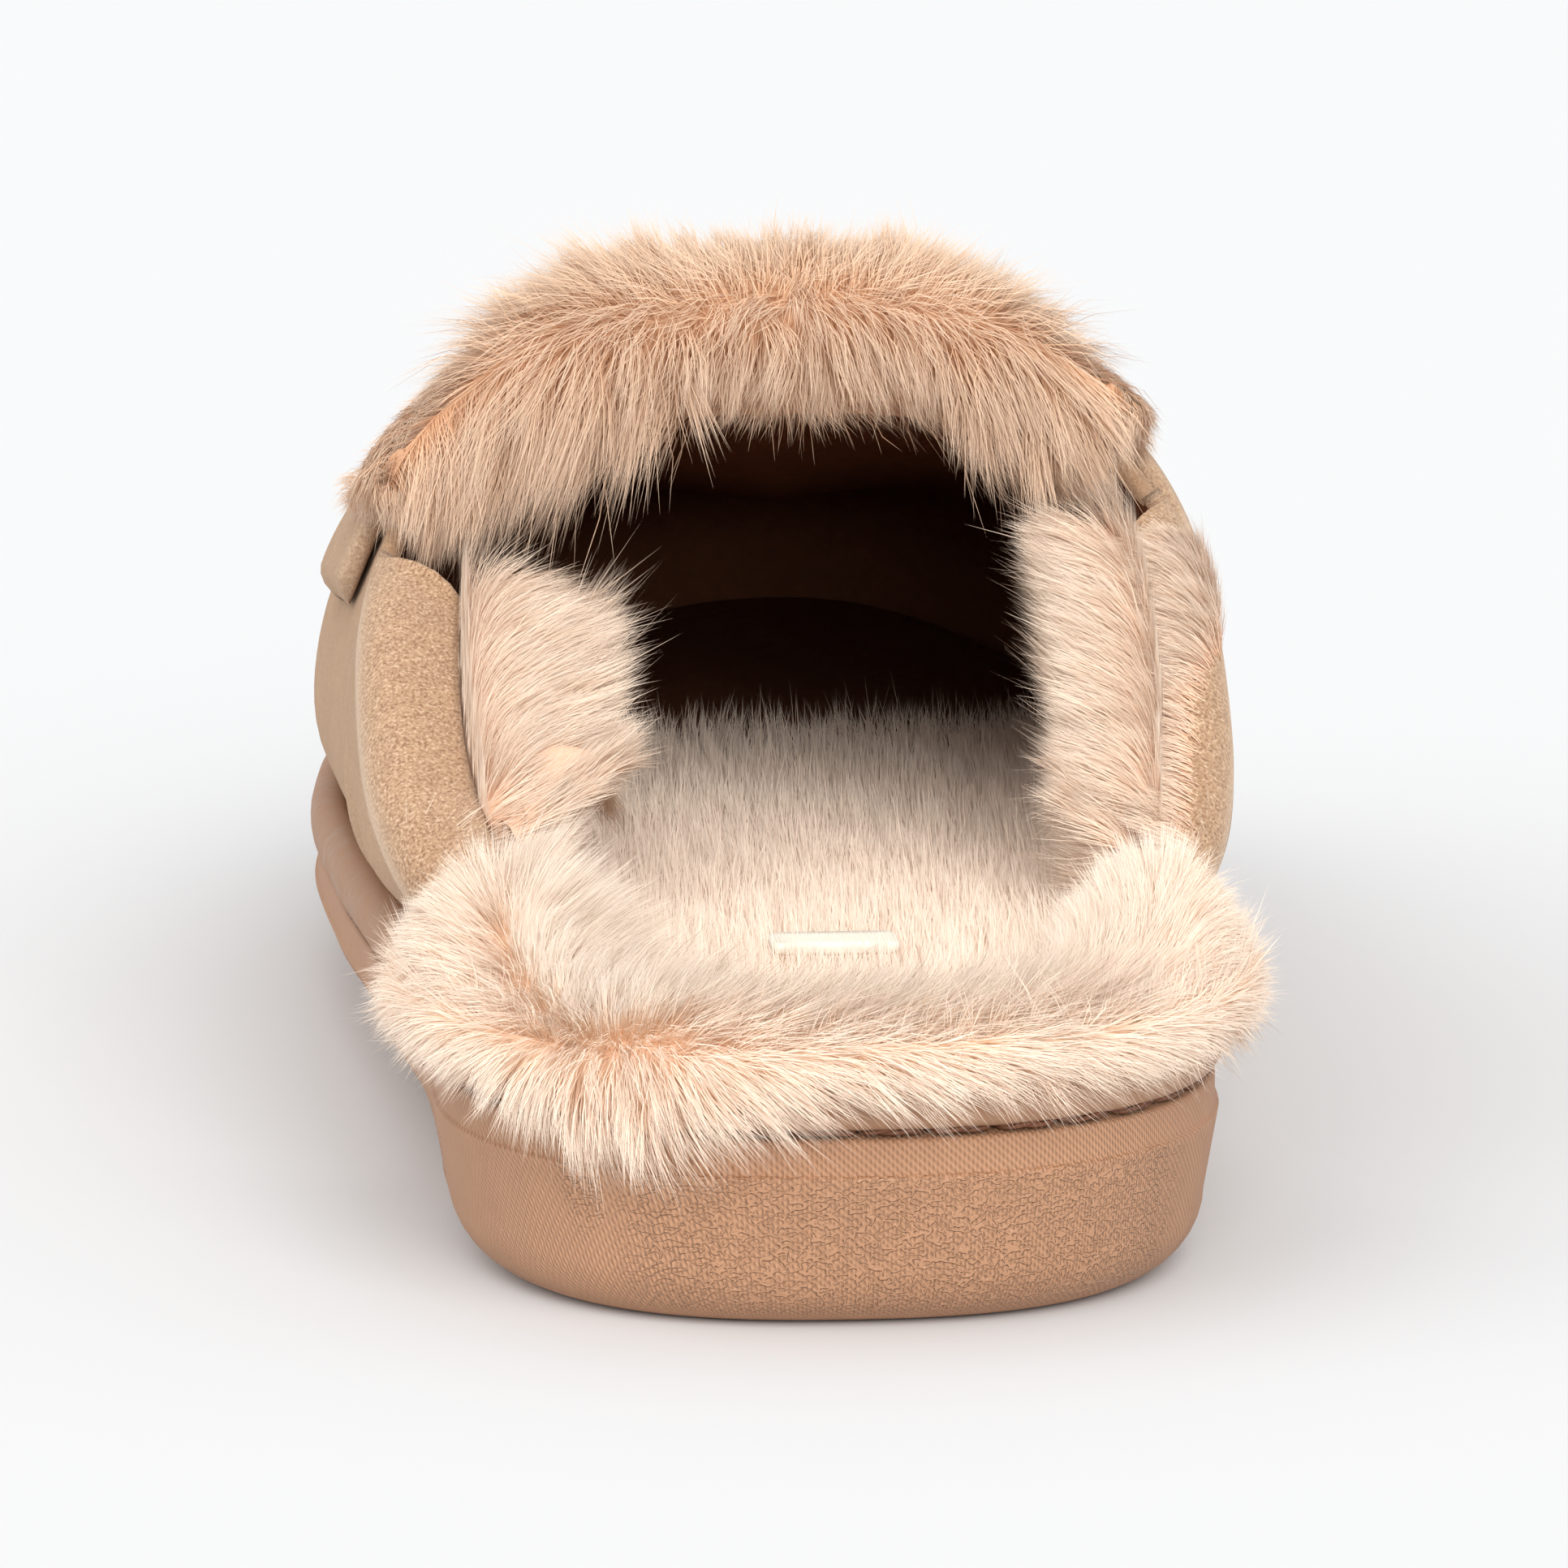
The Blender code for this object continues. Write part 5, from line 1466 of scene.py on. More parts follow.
def body_of(skin):
    """The body under the strands: its points, its faces on the root end of the map, and its normals;
    closed bodies get end caps."""
    index = number_grid(skin["points"])
    columns = index.shape[1]
    caps = []
    if skin["closed"]:
        caps = [index[:1], index[-1:, ::-1]]
        index = wrapped(index)
    flip = skin["turn"] < 0
    places = flat_map(*index.shape, (0.35, 0.0), (0.65, 0.04))
    patches = [patch(index, places, flip=flip)]
    corner = flat_map(1, columns, (0.4, 0.01), (0.6, 0.03))
    for cap in caps:
        faces = cap[:, ::-1] if flip else cap
        patches.append((faces[:, ::-1], corner))
    return skin["points"].reshape(-1, 3), patches, skin["normal"].reshape(-1, 3)


# %% Pile pieces and their finish
def make_pile_piece(name, parts, materials, node):
    """One piece from bodies and strips, joined in a single mesh with their own shading normals."""
    points = np.concatenate([part[0] for part in parts])
    starts = np.cumsum([0] + [len(part[0]) for part in parts])
    patches = [(faces + start, spots) for part, start in zip(parts, starts) for faces, spots in part[1]]
    mesh = lay_mesh(name, points, patches, "OFBake")
    mesh.normals_split_custom_set_from_vertices(np.concatenate([part[2] for part in parts]))
    piece = add_piece(name, mesh, materials, node)
    return piece


def make_pile_finish(name, row):
    """Soft fibre: colours along the strand, a rough gloss and a little sheen. A strand seen from behind
    gives a painted glow, its colour times the glow, in place of the light that comes through it."""
    material, tree, shader = new_finish(name, 0.7, Specular_IOR_Level=0.15, Sheen_Weight=0.08)
    shader.inputs["Sheen Roughness"].default_value = 0.5
    where = add_node(tree, "ShaderNodeUVMap")
    where.uv_map = "OFBake"
    tones = {"Root": tone(*row.root), "Middle": tone(*row.middle), "Tip": tone(*row.tip)}
    colour = use_group(tree, PILE, Map=where.outputs["UV"], **tones)
    tree.links.new(colour.outputs["Color"], shader.inputs["Base Color"])
    tree.links.new(colour.outputs["Roughness"], shader.inputs["Roughness"])
    # painted light: strands seen from behind emit their colour times the glow
    surface = add_node(tree, "ShaderNodeNewGeometry")
    share = maths(tree, "MULTIPLY", surface.outputs["Backfacing"], row.glow)
    lit = mix(tree, share, tone(0.0, 0.0, 0.0), colour.outputs["Color"])
    tree.links.new(lit, shader.inputs["Emission Color"])
    shader.inputs["Emission Strength"].default_value = 1.0
    material.cycles.emission_sampling = "NONE"
    return material


# %% [markdown]
# ### Heel collar
# The roll round the heel is a closed section carried along the back of the outline, thicker at its two
# ends and hanging over the welt. Its pile fans out from a crown on the outer side, runs along the back
# towards the inner side and falls in a fringe over the stitches.

# %% Heel collar
RollRow = namedtuple("RollRow", "out rise")
ROLL_ROWS = (
    RollRow(2.6, -3.4),
    RollRow(4.6, -1.8),
    RollRow(6.0, 0.8),
    RollRow(5.0, 4.0),
    RollRow(1.2, 6.0),
    RollRow(-5.0, 6.2),
    RollRow(-10.8, 4.4),
    RollRow(-15.0, 1.8),
    RollRow(-14.4, 0.0),
    RollRow(-6.0, 0.0),
    RollRow(2.5, 0.0),
)
INSOLE_THICK = 6.6
ROLL_END = 47.0
ROLL_LEAST = 0.34
ROLL_CENTRE = -4.0
ROLL_END_LIFT = 2.35
ROLL_SIDE_OUT = 1.6
ROLL_RIGHT_OUT = 1.0
ROLL_SIDE_FROM = 4.0
ROLL_HANG_LEAST = 0.05
ROLL_HANG_MORE = 1.25
ROLL_HANG_AT = -0.28
ROLL_HANG_REACH = 0.17
ROLL_HANG_FROM = 0.75
ROLL_SEAT_STATION = 20.0
ROLL_STEPS = 110
ROLL_ROUND = 66
ROLL_SKIN = 3.6


def roll_points():
    """Section rows moved out and up by the place along the roll, then smoothed round the section."""
    q = np.linspace(-1.0, 1.0, ROLL_STEPS + 1)[:, None]
    far = np.abs(q)
    base = []
    for side in (-1, 1):
        line = SIDES[side]
        reach = np.interp(ROLL_END, line[0][:, 1], line[2])
        base.append(np.stack(pick(line, line[2], far[:, 0] * reach), axis=1))
    px, py, nx, ny = np.where(q < 0.0, base[0], base[1]).T[:, :, None]
    rows = np.array(ROLL_ROWS)
    full = ROLL_LEAST + (1.0 - ROLL_LEAST) * np.sqrt(np.clip(1.0 - far**6, 0.0, 1.0))
    lift = 1.0 + (ROLL_END_LIFT - 1.0) * blend(0.35, 0.85, far)
    wide = ROLL_SIDE_OUT * blend(0.15, 0.6, -q) + ROLL_RIGHT_OUT * blend(0.5, 0.9, q)
    hang = ROLL_HANG_LEAST + ROLL_HANG_MORE * np.exp(-(((q - ROLL_HANG_AT) / ROLL_HANG_REACH) ** 2))
    beside = np.where(rows[:, 0] > ROLL_SIDE_FROM, wide * full, 0.0)
    out = ROLL_CENTRE + (rows[:, 0] - ROLL_CENTRE) * full + beside
    hung = np.clip((full - ROLL_HANG_FROM) / (1.0 - ROLL_HANG_FROM), 0.0, 1.0) * hang
    rise = np.where(rows[:, 1] > 0.0, rows[:, 1] * lift * full, rows[:, 1] * hung)
    out = np.where(rise < 0.0, np.maximum(out, rows[:, 0]), out)
    seat = through(SOLE_ROWS, "wall_top", ROLL_SEAT_STATION) + INSOLE_THICK + GAP
    return closed_curve(vectors(px + nx * out, py + ny * out, seat + rise), ROLL_ROUND)


def shrink(skin, depth):
    """Skin moved in along its normals by a depth."""
    return skin["points"] - skin["normal"] * depth


# %% Room for strands round the heel
HEEL_HALF = 37.0
HEEL_CLEAR = 2.4
WELT_CREST = 26.0


def heel_out(points):
    """How far a place lies outside the heel's outline, from the outline's own superellipse."""
    x = np.abs(points[..., 0]) / HEEL_HALF
    y = np.clip(1.0 - points[..., 1] / HEEL_END, 0.0, None)
    size = (x**HEEL_SQUARENESS + y**HEEL_SQUARENESS) ** (1.0 / HEEL_SQUARENESS)
    return np.maximum(size, 0.05)


def clear_of_heel(path):
    """Strand points below the top of the welt are pushed out past the welt and the wall of the sole."""
    size = heel_out(path)
    need = 1.0 + HEEL_CLEAR / HEEL_HALF
    low = (path[..., 2] < WELT_CREST) & (size < need)
    centre = np.array([0.0, HEEL_END, 0.0])
    push = np.where(low, need / size, 1.0)[..., None]
    moved = centre + (path - centre) * push
    moved[..., 2] = path[..., 2]
    return np.where(low[..., None] & (path[..., 1:2] < HEEL_END + 8.0), moved, path)


# %% Comb of the heel collar
CROWN_X = -26.0
CROWN_Z = 37.0
CROWN_REACH = 13.0


def comb_heel(root, normal, u, v):
    """Lay of the heel collar: away from the crown on the outer side, along the back to the inner side,
    down at the fringe, and in over the top on the side of the foot; upright at the crown."""
    x, y, z = root.T
    inward = unit(vectors(-x, np.maximum(HEEL_END - y, 0.0), 0.0))
    faces_in = (normal * inward).sum(axis=1)
    outer = blend(0.2, -0.3, faces_in)
    low_down = blend(30.0, 23.0, z) * outer
    fan = vectors(x - CROWN_X, 0.0, 0.8 * (z - CROWN_Z))
    fan = unit(fan + np.array([0.0, 0.0, -3.0])) - np.array([0.0, 0.55, 0.0])
    fan = fan + blend(-27.0, -36.0, x)[:, None] * np.array([0.2, 1.3, 0.0])
    ridge = np.exp(-((faces_in - 0.1) ** 2) / 0.2) * blend(30.0, 16.0, x)
    sweep_y = 1.5 * blend(14.0, 34.0, x) - 0.7 * ridge
    sweep = unit(vectors(1.0, sweep_y, -0.18 - 0.22 * low_down))
    right = blend(CROWN_X - 2.0, CROWN_X + 24.0, x)
    lay = between(fan, sweep, right)
    inner = np.array([0.90, 0.35, -0.15]) + right[:, None] * np.array([-0.10, 0.10, 0.35])
    lay = between(lay, inner, blend(0.70, 1.0, faces_in))
    crown = np.exp(-((x - CROWN_X) ** 2 + (z - CROWN_Z) ** 2) / CROWN_REACH**2)
    fluff = np.maximum(blend(-0.6, 0.5, faces_in), crown)
    back = right * (1.0 - blend(-0.5, 0.2, faces_in))
    flat = (0.34 - 0.06 * np.sign(x)) * blend(20.0, 34.0, np.abs(x)) * outer
    flat = flat * (1.0 - 0.70 * low_down)
    steep = 0.95 + 0.30 * fluff + 0.25 * crown - 0.28 * back - flat
    low = 0.45 + 0.35 * fluff + 0.35 * crown - 0.24 * back - flat
    lobe = blend(-8.0, -18.0, x) * blend(0.3, 0.7, faces_in)
    steep = steep + 0.2 * lobe
    low = low + 0.3 * lobe
    steep = np.maximum(steep, 0.40)
    low = np.maximum(low, 0.05 - 0.6 * low_down)
    reach = 1.0 - 0.12 * crown + 0.5 * lobe - 0.8 * flat + low_down * (0.25 - 0.15 * right)
    return lay, steep, low, reach, 0.10 + 0.25 * low_down


# %% Heel collar piece
roll_form = roll_points()
roll_middle = roll_form.mean(axis=1, keepdims=True)
roll_skin = outward(skin_of(roll_form, True), roll_form - roll_middle)
roll_turn = np.arange(ROLL_ROUND) / ROLL_ROUND * len(ROLL_ROWS)
roll_depth = ROLL_SKIN * blend(0.3, 2.2, roll_turn) * blend(9.5, 7.5, roll_turn)
roll_skin = outward(skin_of(shrink(roll_skin, roll_depth[None, :, None]), True), roll_form - roll_middle)
roll_off = (roll_skin["points"][..., 0] - CROWN_X) ** 2 + (roll_skin["points"][..., 2] - CROWN_Z) ** 2
roll_weight = blend(8.4, 7.6, roll_turn)[None] * (1.0 + 0.8 * np.exp(-roll_off / CROWN_REACH**2))
heel_tufts = grow(roll_skin, PILES["heel"], comb_heel, 11, roll_weight, clear_of_heel)
heel_finish = make_pile_finish("heel pile", TONES["heel"])
heel_parts = [body_of(roll_skin), heel_tufts]
make_pile_piece("heel_collar", heel_parts, [heel_finish], "heel_collar_fur")

# %% [markdown]
# ### Cuff
# The cuff is a fat roll over the throat edge. A parting runs along its top: behind it the pile goes up
# and away to the toe, in front of it the pile falls over the opening and spreads to both sides. On the
# flanks the section turns over and shows its underside, so the normals there are turned round and that
# part gets pile too.

# %% Cuff
CuffRow = namedtuple("CuffRow", "back lift")
CUFF_EDGE = -1.9
CUFF_OVER = 4.4
CUFF_UNDER = -4.4
CUFF_ROWS = (
    CuffRow(14.0, CUFF_OVER),
    CuffRow(14.0, 7.6),
    CuffRow(9.0, 10.8),
    CuffRow(1.5, 12.0),
    CuffRow(-6.0, 11.0),
    CuffRow(-11.5, 7.0),
    CuffRow(-13.2, 1.8),
    CuffRow(-11.5, -2.0),
    CuffRow(-6.5, -5.2),
    CuffRow(1.0, -6.2),
    CuffRow(6.0, -6.0),
    CuffRow(5.4, CUFF_UNDER),
    CuffRow(CUFF_EDGE, CUFF_UNDER),
    CuffRow(CUFF_EDGE, CUFF_OVER),
)
CUFF_CLEAR = 0.05
CUFF_END = {-1: 63.0, 1: 69.0}
CUFF_LEAST = 0.34
CUFF_SIDE_LIFT = 0.06
CUFF_SIDE_DEPTH = 0.5
CUFF_STEPS = 50
CUFF_ROUND = 70
CUFF_SKIN = 3.0
CUFF_CAP_ROWS = 6
CUFF_CAP_BULGE = 2.0
CUFF_TUCKED_FROM = 11.0
CUFF_MORE = 1.2


def throat_edge(side, angle):
    """Station of the throat edge at an angle: a quarter ellipse from the quarter to the ridge."""
    height = through(QUARTER_ROWS, SIDE_NAMES[side], QUARTER_END)
    low = angle_at_height(side, np.array(QUARTER_END), height)
    share = np.clip((math.pi / 2.0 - angle) / (math.pi / 2.0 - low), 0.0, 1.0)
    return QUARTER_END + (THROAT - QUARTER_END) * np.sqrt(1.0 - share**2)


def cuff_points():
    """Section rows set along the foot from the throat edge and off the upper's face, then smoothed."""
    legs = over_instep(CUFF_END, THROAT, CUFF_STEPS)
    total = len(legs[0]) + len(legs[1])
    rows = np.array(CUFF_ROWS)
    grids = []
    done = 0
    for side, angles in zip((-1, 1), legs):
        number = done + np.arange(len(angles))
        done += len(angles)
        end = np.abs(2.0 * number / (total - 1) - 1.0)[:, None]
        full = CUFF_LEAST + (1.0 - CUFF_LEAST) * np.sqrt(np.clip(1.0 - end**6, 0.0, 1.0))
        high = 1.0 - (1.0 - CUFF_SIDE_LIFT) * blend(0.35, 0.85, end)
        deep = full * (1.0 + CUFF_SIDE_DEPTH * blend(0.3, 0.7, end))
        back = np.where(rows[:, 0] < CUFF_EDGE, CUFF_EDGE + (rows[:, 0] - CUFF_EDGE) * full, rows[:, 0])
        lift = np.where(rows[:, 1] > CUFF_OVER, CUFF_OVER + (rows[:, 1] - CUFF_OVER) * high, rows[:, 1])
        lift = np.where(rows[:, 1] < CUFF_UNDER, CUFF_UNDER + (rows[:, 1] - CUFF_UNDER) * deep, lift)
        angle = angles[:, None]
        station = throat_edge(side, angle - CUFF_CLEAR) + back
        face = upper_surface(side, station, angle)
        grids.append(face + upper_normal(side, station, angle) * lift[..., None])
    return closed_curve(np.concatenate(grids), CUFF_ROUND)


# %% Comb of the cuff
CUFF_PARTING = 5.3
CUFF_MIDDLE = 1.7
CUFF_FLANK = (27.0, 36.0)


def comb_cuff(root, normal, u, v):
    """Lay of the cuff: behind the parting up and away to the toe, in front of it down over the opening,
    shorter at the lower edge, and on both flanks straight down, short and close to the suede."""
    x, y, z = root.T
    turn = v * len(CUFF_ROWS)
    parting = CUFF_PARTING + 0.35 * np.sin(u * 21.0) + 0.8 * np.sin(37.0 * x + 53.0 * y + 71.0 * z)
    falls = blend(parting - 0.9, parting + 0.9, turn)
    off = x - CUFF_MIDDLE
    lean = off / 60.0
    way = np.sign(lean)
    flank = blend(*CUFF_FLANK, np.abs(off))
    away = vectors(1.6 * lean, 0.8, 0.4)
    behind = blend(102.0, 108.0, y)
    aside = vectors(-0.7 * way, 0.05, -1.0)
    down = vectors(lean * (1.0 - flank), -0.35, -1.0)
    lay = between(between(away, aside, flank), down, falls)
    front = blend(1.7, 0.7, turn)
    lay = between(lay, vectors(lean, 0.7, -0.7), front)
    edge = blend(5.9, 7.4, turn)
    shoulder = blend(14.0, 26.0, np.abs(off)) * (1.0 - flank) * np.where(off > 0.0, 0.75, 0.55)
    end_low = np.where(off < 0.0, blend(71.0, 67.0, z), 1.0)
    press = np.where(off < 0.0, 0.45 + 0.55 * behind * end_low, 1.0) * flank
    steep = 0.82 + 0.22 * shoulder - 0.55 * press
    low = 0.34 + 0.24 * shoulder - 0.14 * falls - 0.46 * press
    left = blend(-40.0, -32.0, off) * blend(-8.0, -15.0, off)
    right = blend(12.0, 19.0, off) * blend(34.0, 28.0, off)
    more = falls * (0.65 * left + 0.40 * right)
    short = 0.20 * edge * (1.0 - left - right)
    reach = (0.80 + 0.12 * shoulder + 0.10 * falls) * (1.0 + more - short)
    reach = reach * (1.0 + flank * (0.05 - (0.25 + 0.50 * end_low) * behind))
    reach = reach * (1.0 - 0.35 * front)
    end = np.maximum(blend(0.045, 0.02, u), blend(0.955, 0.98, u))
    lay = between(lay, vectors(0.2 * way, -0.1, -1.0), end)
    steep = np.maximum(steep, 0.36 + 0.3 * end)
    low = np.maximum(low, 0.16 * flank + 0.1 * end)
    under = blend(10.8, 11.4, turn)
    steep = steep * (1.0 - 0.45 * under)
    low = low * (1.0 - 0.6 * under)
    reach = np.maximum(reach * (1.0 - 0.6 * under), 0.38 - 0.06 * under)
    droop = 0.05 + 0.20 * falls + 0.05 * flank + 0.15 * more + 0.2 * front
    return lay, steep, low, reach, droop


# %% Cuff piece
cuff_form = rounded_ends(cuff_points(), CUFF_CAP_ROWS, CUFF_CAP_BULGE)
cuff_middle = cuff_form.mean(axis=1, keepdims=True)
cuff_lines = outward(skin_of(cuff_form, True), cuff_form - cuff_middle)
cuff_turn = np.arange(CUFF_ROUND) / CUFF_ROUND * len(CUFF_ROWS)
cuff_depth = CUFF_SKIN * blend(0.4, 1.6, cuff_turn) * blend(11.2, 9.6, cuff_turn)
cuff_thin = np.linalg.svd(cuff_form - cuff_middle, compute_uv=False)[:, 1] / math.sqrt(CUFF_ROUND / 2.0)
cuff_depth = cuff_depth[None, :, None] * np.minimum(1.0, 0.8 * cuff_thin / CUFF_SKIN)[:, None, None]
print("cuff half thickness from", cuff_thin[CUFF_CAP_ROWS].round(2), "to", cuff_thin.max().round(2), "mm")
cuff_skin = outward(skin_of(shrink(cuff_lines, cuff_depth), True), cuff_form - cuff_middle)
cuff_lower = 0.3 * blend(10.4, 9.4, cuff_turn) + 0.7 * blend(8.4, 7.4, cuff_turn)
cuff_weight = np.tile(blend(-0.3, 0.1, cuff_turn) * cuff_lower, (len(cuff_form), 1))
cuff_weight[: CUFF_CAP_ROWS + 1] = CUFF_MORE
cuff_weight[-CUFF_CAP_ROWS - 1 :] = CUFF_MORE
cuff_way = np.sign((cuff_skin["normal"] * (cuff_form - cuff_middle)).sum(axis=2))
cuff_far = np.abs(cuff_middle[..., 0] - CUFF_MIDDLE) > CUFF_FLANK[0]
tucked = cuff_far & (cuff_turn > CUFF_TUCKED_FROM)[None] & (cuff_way < 0.0)
cuff_skin["normal"] = np.where(tucked[..., None], -1.0, 1.0) * cuff_skin["normal"]
cuff_weight = np.where(tucked, CUFF_MORE, cuff_weight)
print("cuff cells whose underside shows:", int(tucked.sum()))
cuff_tufts = grow(cuff_skin, PILES["cuff"], comb_cuff, 12, cuff_weight)
cuff_finish = make_pile_finish("cuff pile", TONES["cuff"])
make_pile_piece("cuff", [body_of(cuff_skin), cuff_tufts], [cuff_finish], "cuff_fur")

# %% [markdown]
# ### Quarter pads
# Inside each quarter sits a pad of pale pile that swells over the turned collar edge. Its strands run
# from the wall towards the foot and stand out into the dark opening at their tips.

# %% Quarter pads
PadRow = namedtuple("PadRow", "fall reach")
PAD_ROWS = (
    PadRow(0.03, 0.0),
    PadRow(0.03, 0.36),
    PadRow(-4.6, 0.42),
    PadRow(-5.2, 0.66),
    PadRow(-3.4, 0.92),
    PadRow(0.24, 1.0),
    PadRow(0.50, 0.95),
    PadRow(0.78, 0.80),
    PadRow(1.0, 0.50),
    PadRow(1.0, 0.0),
    PadRow(0.5, 0.0),
)
PAD_FROM = 61.0
PAD_TO = 96.0
PAD_THICK = {1: 12.5, -1: 21.0}
PAD_LEAST = 0.93
PAD_FLOOR = 0.9
PAD_CREST_DROP = 0.35
PAD_STEPS = 40
PAD_ROUND = 50
PAD_SKIN = 2.2
PAD_CAP_ROWS = 8
PAD_CAP_BULGE = 3.5
PAD_BARE_BELOW = 31.0
PAD_BARE_PAST = 32.0


def pad_points(side):
    """Section rows set down the wall from the collar edge and in from the wall, station by station."""
    stations = np.linspace(PAD_FROM, PAD_TO, PAD_STEPS + 1)
    ends = angle_at_height(side, stations, through(QUARTER_ROWS, SIDE_NAMES[side], stations))
    edge, normal, leave = collar_frame(side, stations, ends)
    floor = through(SOLE_ROWS, "wall_top", stations) + INSOLE_THICK + PAD_FLOOR
    lows = angle_at_height(side, stations, floor)
    share = np.linspace(0.0, 1.0, PAD_STEPS + 1)
    full = PAD_LEAST + (1.0 - PAD_LEAST) * np.sqrt(1.0 - np.abs(2.0 * share - 1.0) ** 4)
    crest = 1.0 - PAD_CREST_DROP * blend(0.7, 1.0, share)
    columns = []
    for row in PAD_ROWS:
        depth = (WALL + GAP + row.reach * PAD_THICK[side] * full)[:, None]
        if row.fall < 0.0:
            columns.append(edge - leave * (row.fall * crest)[:, None] - normal * depth)
        else:
            angles = even_angles(lows, ends, 1.0 - row.fall + 0.0 * lows)
            face = upper_surface(side, stations, angles)
            columns.append(face - upper_normal(side, stations, angles) * depth)
    return closed_curve(np.stack(columns, axis=1), PAD_ROUND)


# %% Comb of the pads
def comb_pad(side):
    """Comb for one pad: from the wall towards the foot and a little up, steeper at the foot's side."""

    def comb(root, normal, u, v):
        """Lay, lifts, reach and droop from the way each root's normal faces and from its height."""
        inward = -side * np.ones(len(root))
        lay = vectors(0.9 * inward, 0.25, 0.45)
        inner = blend(0.1, 0.8, normal[:, 0] * -side)
        rear = blend(0.3, 0.9, -normal[:, 1])
        steep = 0.65 + 0.30 * inner - 0.1 * rear
        low = 0.28 + 0.30 * inner
        high = blend(38.0, 48.0, root[:, 2]) * (0.3 - 0.15 * side)
        return lay, steep, low, 1.0 - 0.1 * rear + inner * high, 0.10 + 0.0 * inner

    return comb


def inside_of(side):
    """Limit for one pad's strands: none lies further out than its own root."""

    def clear(path):
        """Smaller of a point's and its root's distance from the middle, on the pad's own side."""
        out = np.minimum(path[..., 0] * side, path[:, :1, 0] * side)
        return np.concatenate([(out * side)[..., None], path[..., 1:]], axis=2)

    return clear


# %% Pile on the turned edge
RIM_FROM = (70.0, 84.0)
RIM_SHARE = 0.62
RIM_SOFT = 0.15
rim_stations = np.linspace(56.0, 90.0, 50)


def fold_skin(side, stations):
    """Skin on the turned collar edge of one side, from the crest to the end of the flap."""
    ends = angle_at_height(side, stations, through(QUARTER_ROWS, SIDE_NAMES[side], stations))
    edge, normal, leave = collar_frame(side, stations, ends)
    fold = turned_edge(side, stations, edge, normal, leave)
    grid = np.concatenate([edge[:, None], fold], axis=1)
    return outward(skin_of(grid, False), leave[:, None] + 0.5 * normal[:, None])


def comb_rim(root, normal, u, v):
    """Pile on the turned collar edge: lies over the edge towards the foot and a little up."""
    flat = np.ones(len(root))
    lay = vectors(-0.9 * np.sign(root[:, 0]), 0.1, 0.25)
    return lay, 0.42 * flat, 0.05 * flat, 0.7 * flat, 0.08 * flat


# %% Pad pieces
pad_finish = make_pile_finish("pad pile", TONES["pad"])
for side in (-1, 1):
    form = rounded_ends(pad_points(side), PAD_CAP_ROWS, PAD_CAP_BULGE)
    away = form - form.mean(axis=1, keepdims=True)
    turn = np.arange(PAD_ROUND) / PAD_ROUND * len(PAD_ROWS)
    depth = PAD_SKIN * blend(1.6, 4.0, turn) * blend(8.2, 7.2, turn)
    skin = outward(skin_of(form, True), away)
    skin = outward(skin_of(shrink(skin, depth[None, :, None]), True), away)
    weight = np.tile(blend(0.8, 1.4, turn) * blend(8.6, 7.6, turn), (len(form), 1))
    weight[:PAD_CAP_ROWS] = 1.0
    x, _, z = np.moveaxis(skin["points"], -1, 0)
    weight = np.where((z < PAD_BARE_BELOW) & (x * side > PAD_BARE_PAST), 0.0, weight)
    tufts = grow(skin, PILES["pad"], comb_pad(side), 20 + side, weight, inside_of(side))
    parts = [body_of(skin), tufts]
    if side > 0:
        rim = fold_skin(side, rim_stations)
        share = np.linspace(0.0, 1.0, rim["points"].shape[1])[None]
        edge_from = RIM_SHARE * (1.0 - blend(*RIM_FROM, rim_stations)[:, None])
        rim_weight = blend(edge_from - RIM_SOFT, edge_from + RIM_SOFT, share)
        parts.append(grow(rim, PILES["rim"], comb_rim, 23, rim_weight))
    node = "lining_" + SIDE_NAMES[side]
    make_pile_piece("pad_" + SIDE_NAMES[side], parts, [pad_finish], node)

# %% [markdown]
# ### Insole
# The footbed is a padded sheet under short, upright pile that leans towards the toe. Only the part that
# the opening shows needs dense strands; under the vamp they thin out in the dark, and there the sheet
# itself takes the dark lining's finish as painted shade.

# %% Insole
INSOLE_INSET = 6.0
INSOLE_DISH = 1.2
INSOLE_EDGE = 2.0
INSOLE_SLOPE = 12.0
INSOLE_ACROSS = 40
INSOLE_STATIONS = 150


def insole_rows():
    """Rows of the footbed's side and rim: foot, upright side, rounded rim and slope to the dish."""
    turn = np.linspace(0.0, math.pi / 2.0, 6)[:, None]
    top = LOOP_TOP + INSOLE_THICK
    out = np.concatenate([[-INSOLE_INSET], -INSOLE_INSET - INSOLE_EDGE * (1.0 - np.cos(turn[:, 0]))])
    side = top - INSOLE_EDGE + INSOLE_EDGE * np.sin(turn)
    height = np.concatenate([LOOP_TOP[None] + GAP, side])
    slope = np.linspace(0.0, 1.0, 6)[1:]
    out = np.concatenate([out, -INSOLE_INSET - INSOLE_EDGE - (INSOLE_SLOPE - INSOLE_EDGE) * slope])
    dish = top - INSOLE_DISH * blend(0.0, 1.0, slope)[:, None]
    return loop_rows(out, np.concatenate([height, dish]))


def insole_top():
    """Grid over the footbed for its pile: between the two rims, lower by the dish in the middle."""
    station = 10.0 + (SOLE_LENGTH - 20.0) * np.linspace(0.0, 1.0, INSOLE_STATIONS)[:, None]
    share = np.linspace(-1.0, 1.0, INSOLE_ACROSS)[None]
    reach = np.maximum(half_width(station) - INSOLE_INSET - 1.0, 0.5)
    x = through(SOLE_ROWS, "swing", station) + reach * share
    z = through(SOLE_ROWS, "wall_top", station) + INSOLE_THICK - INSOLE_DISH * blend(1.0, 0.6, np.abs(share))
    return vectors(x, station, z)


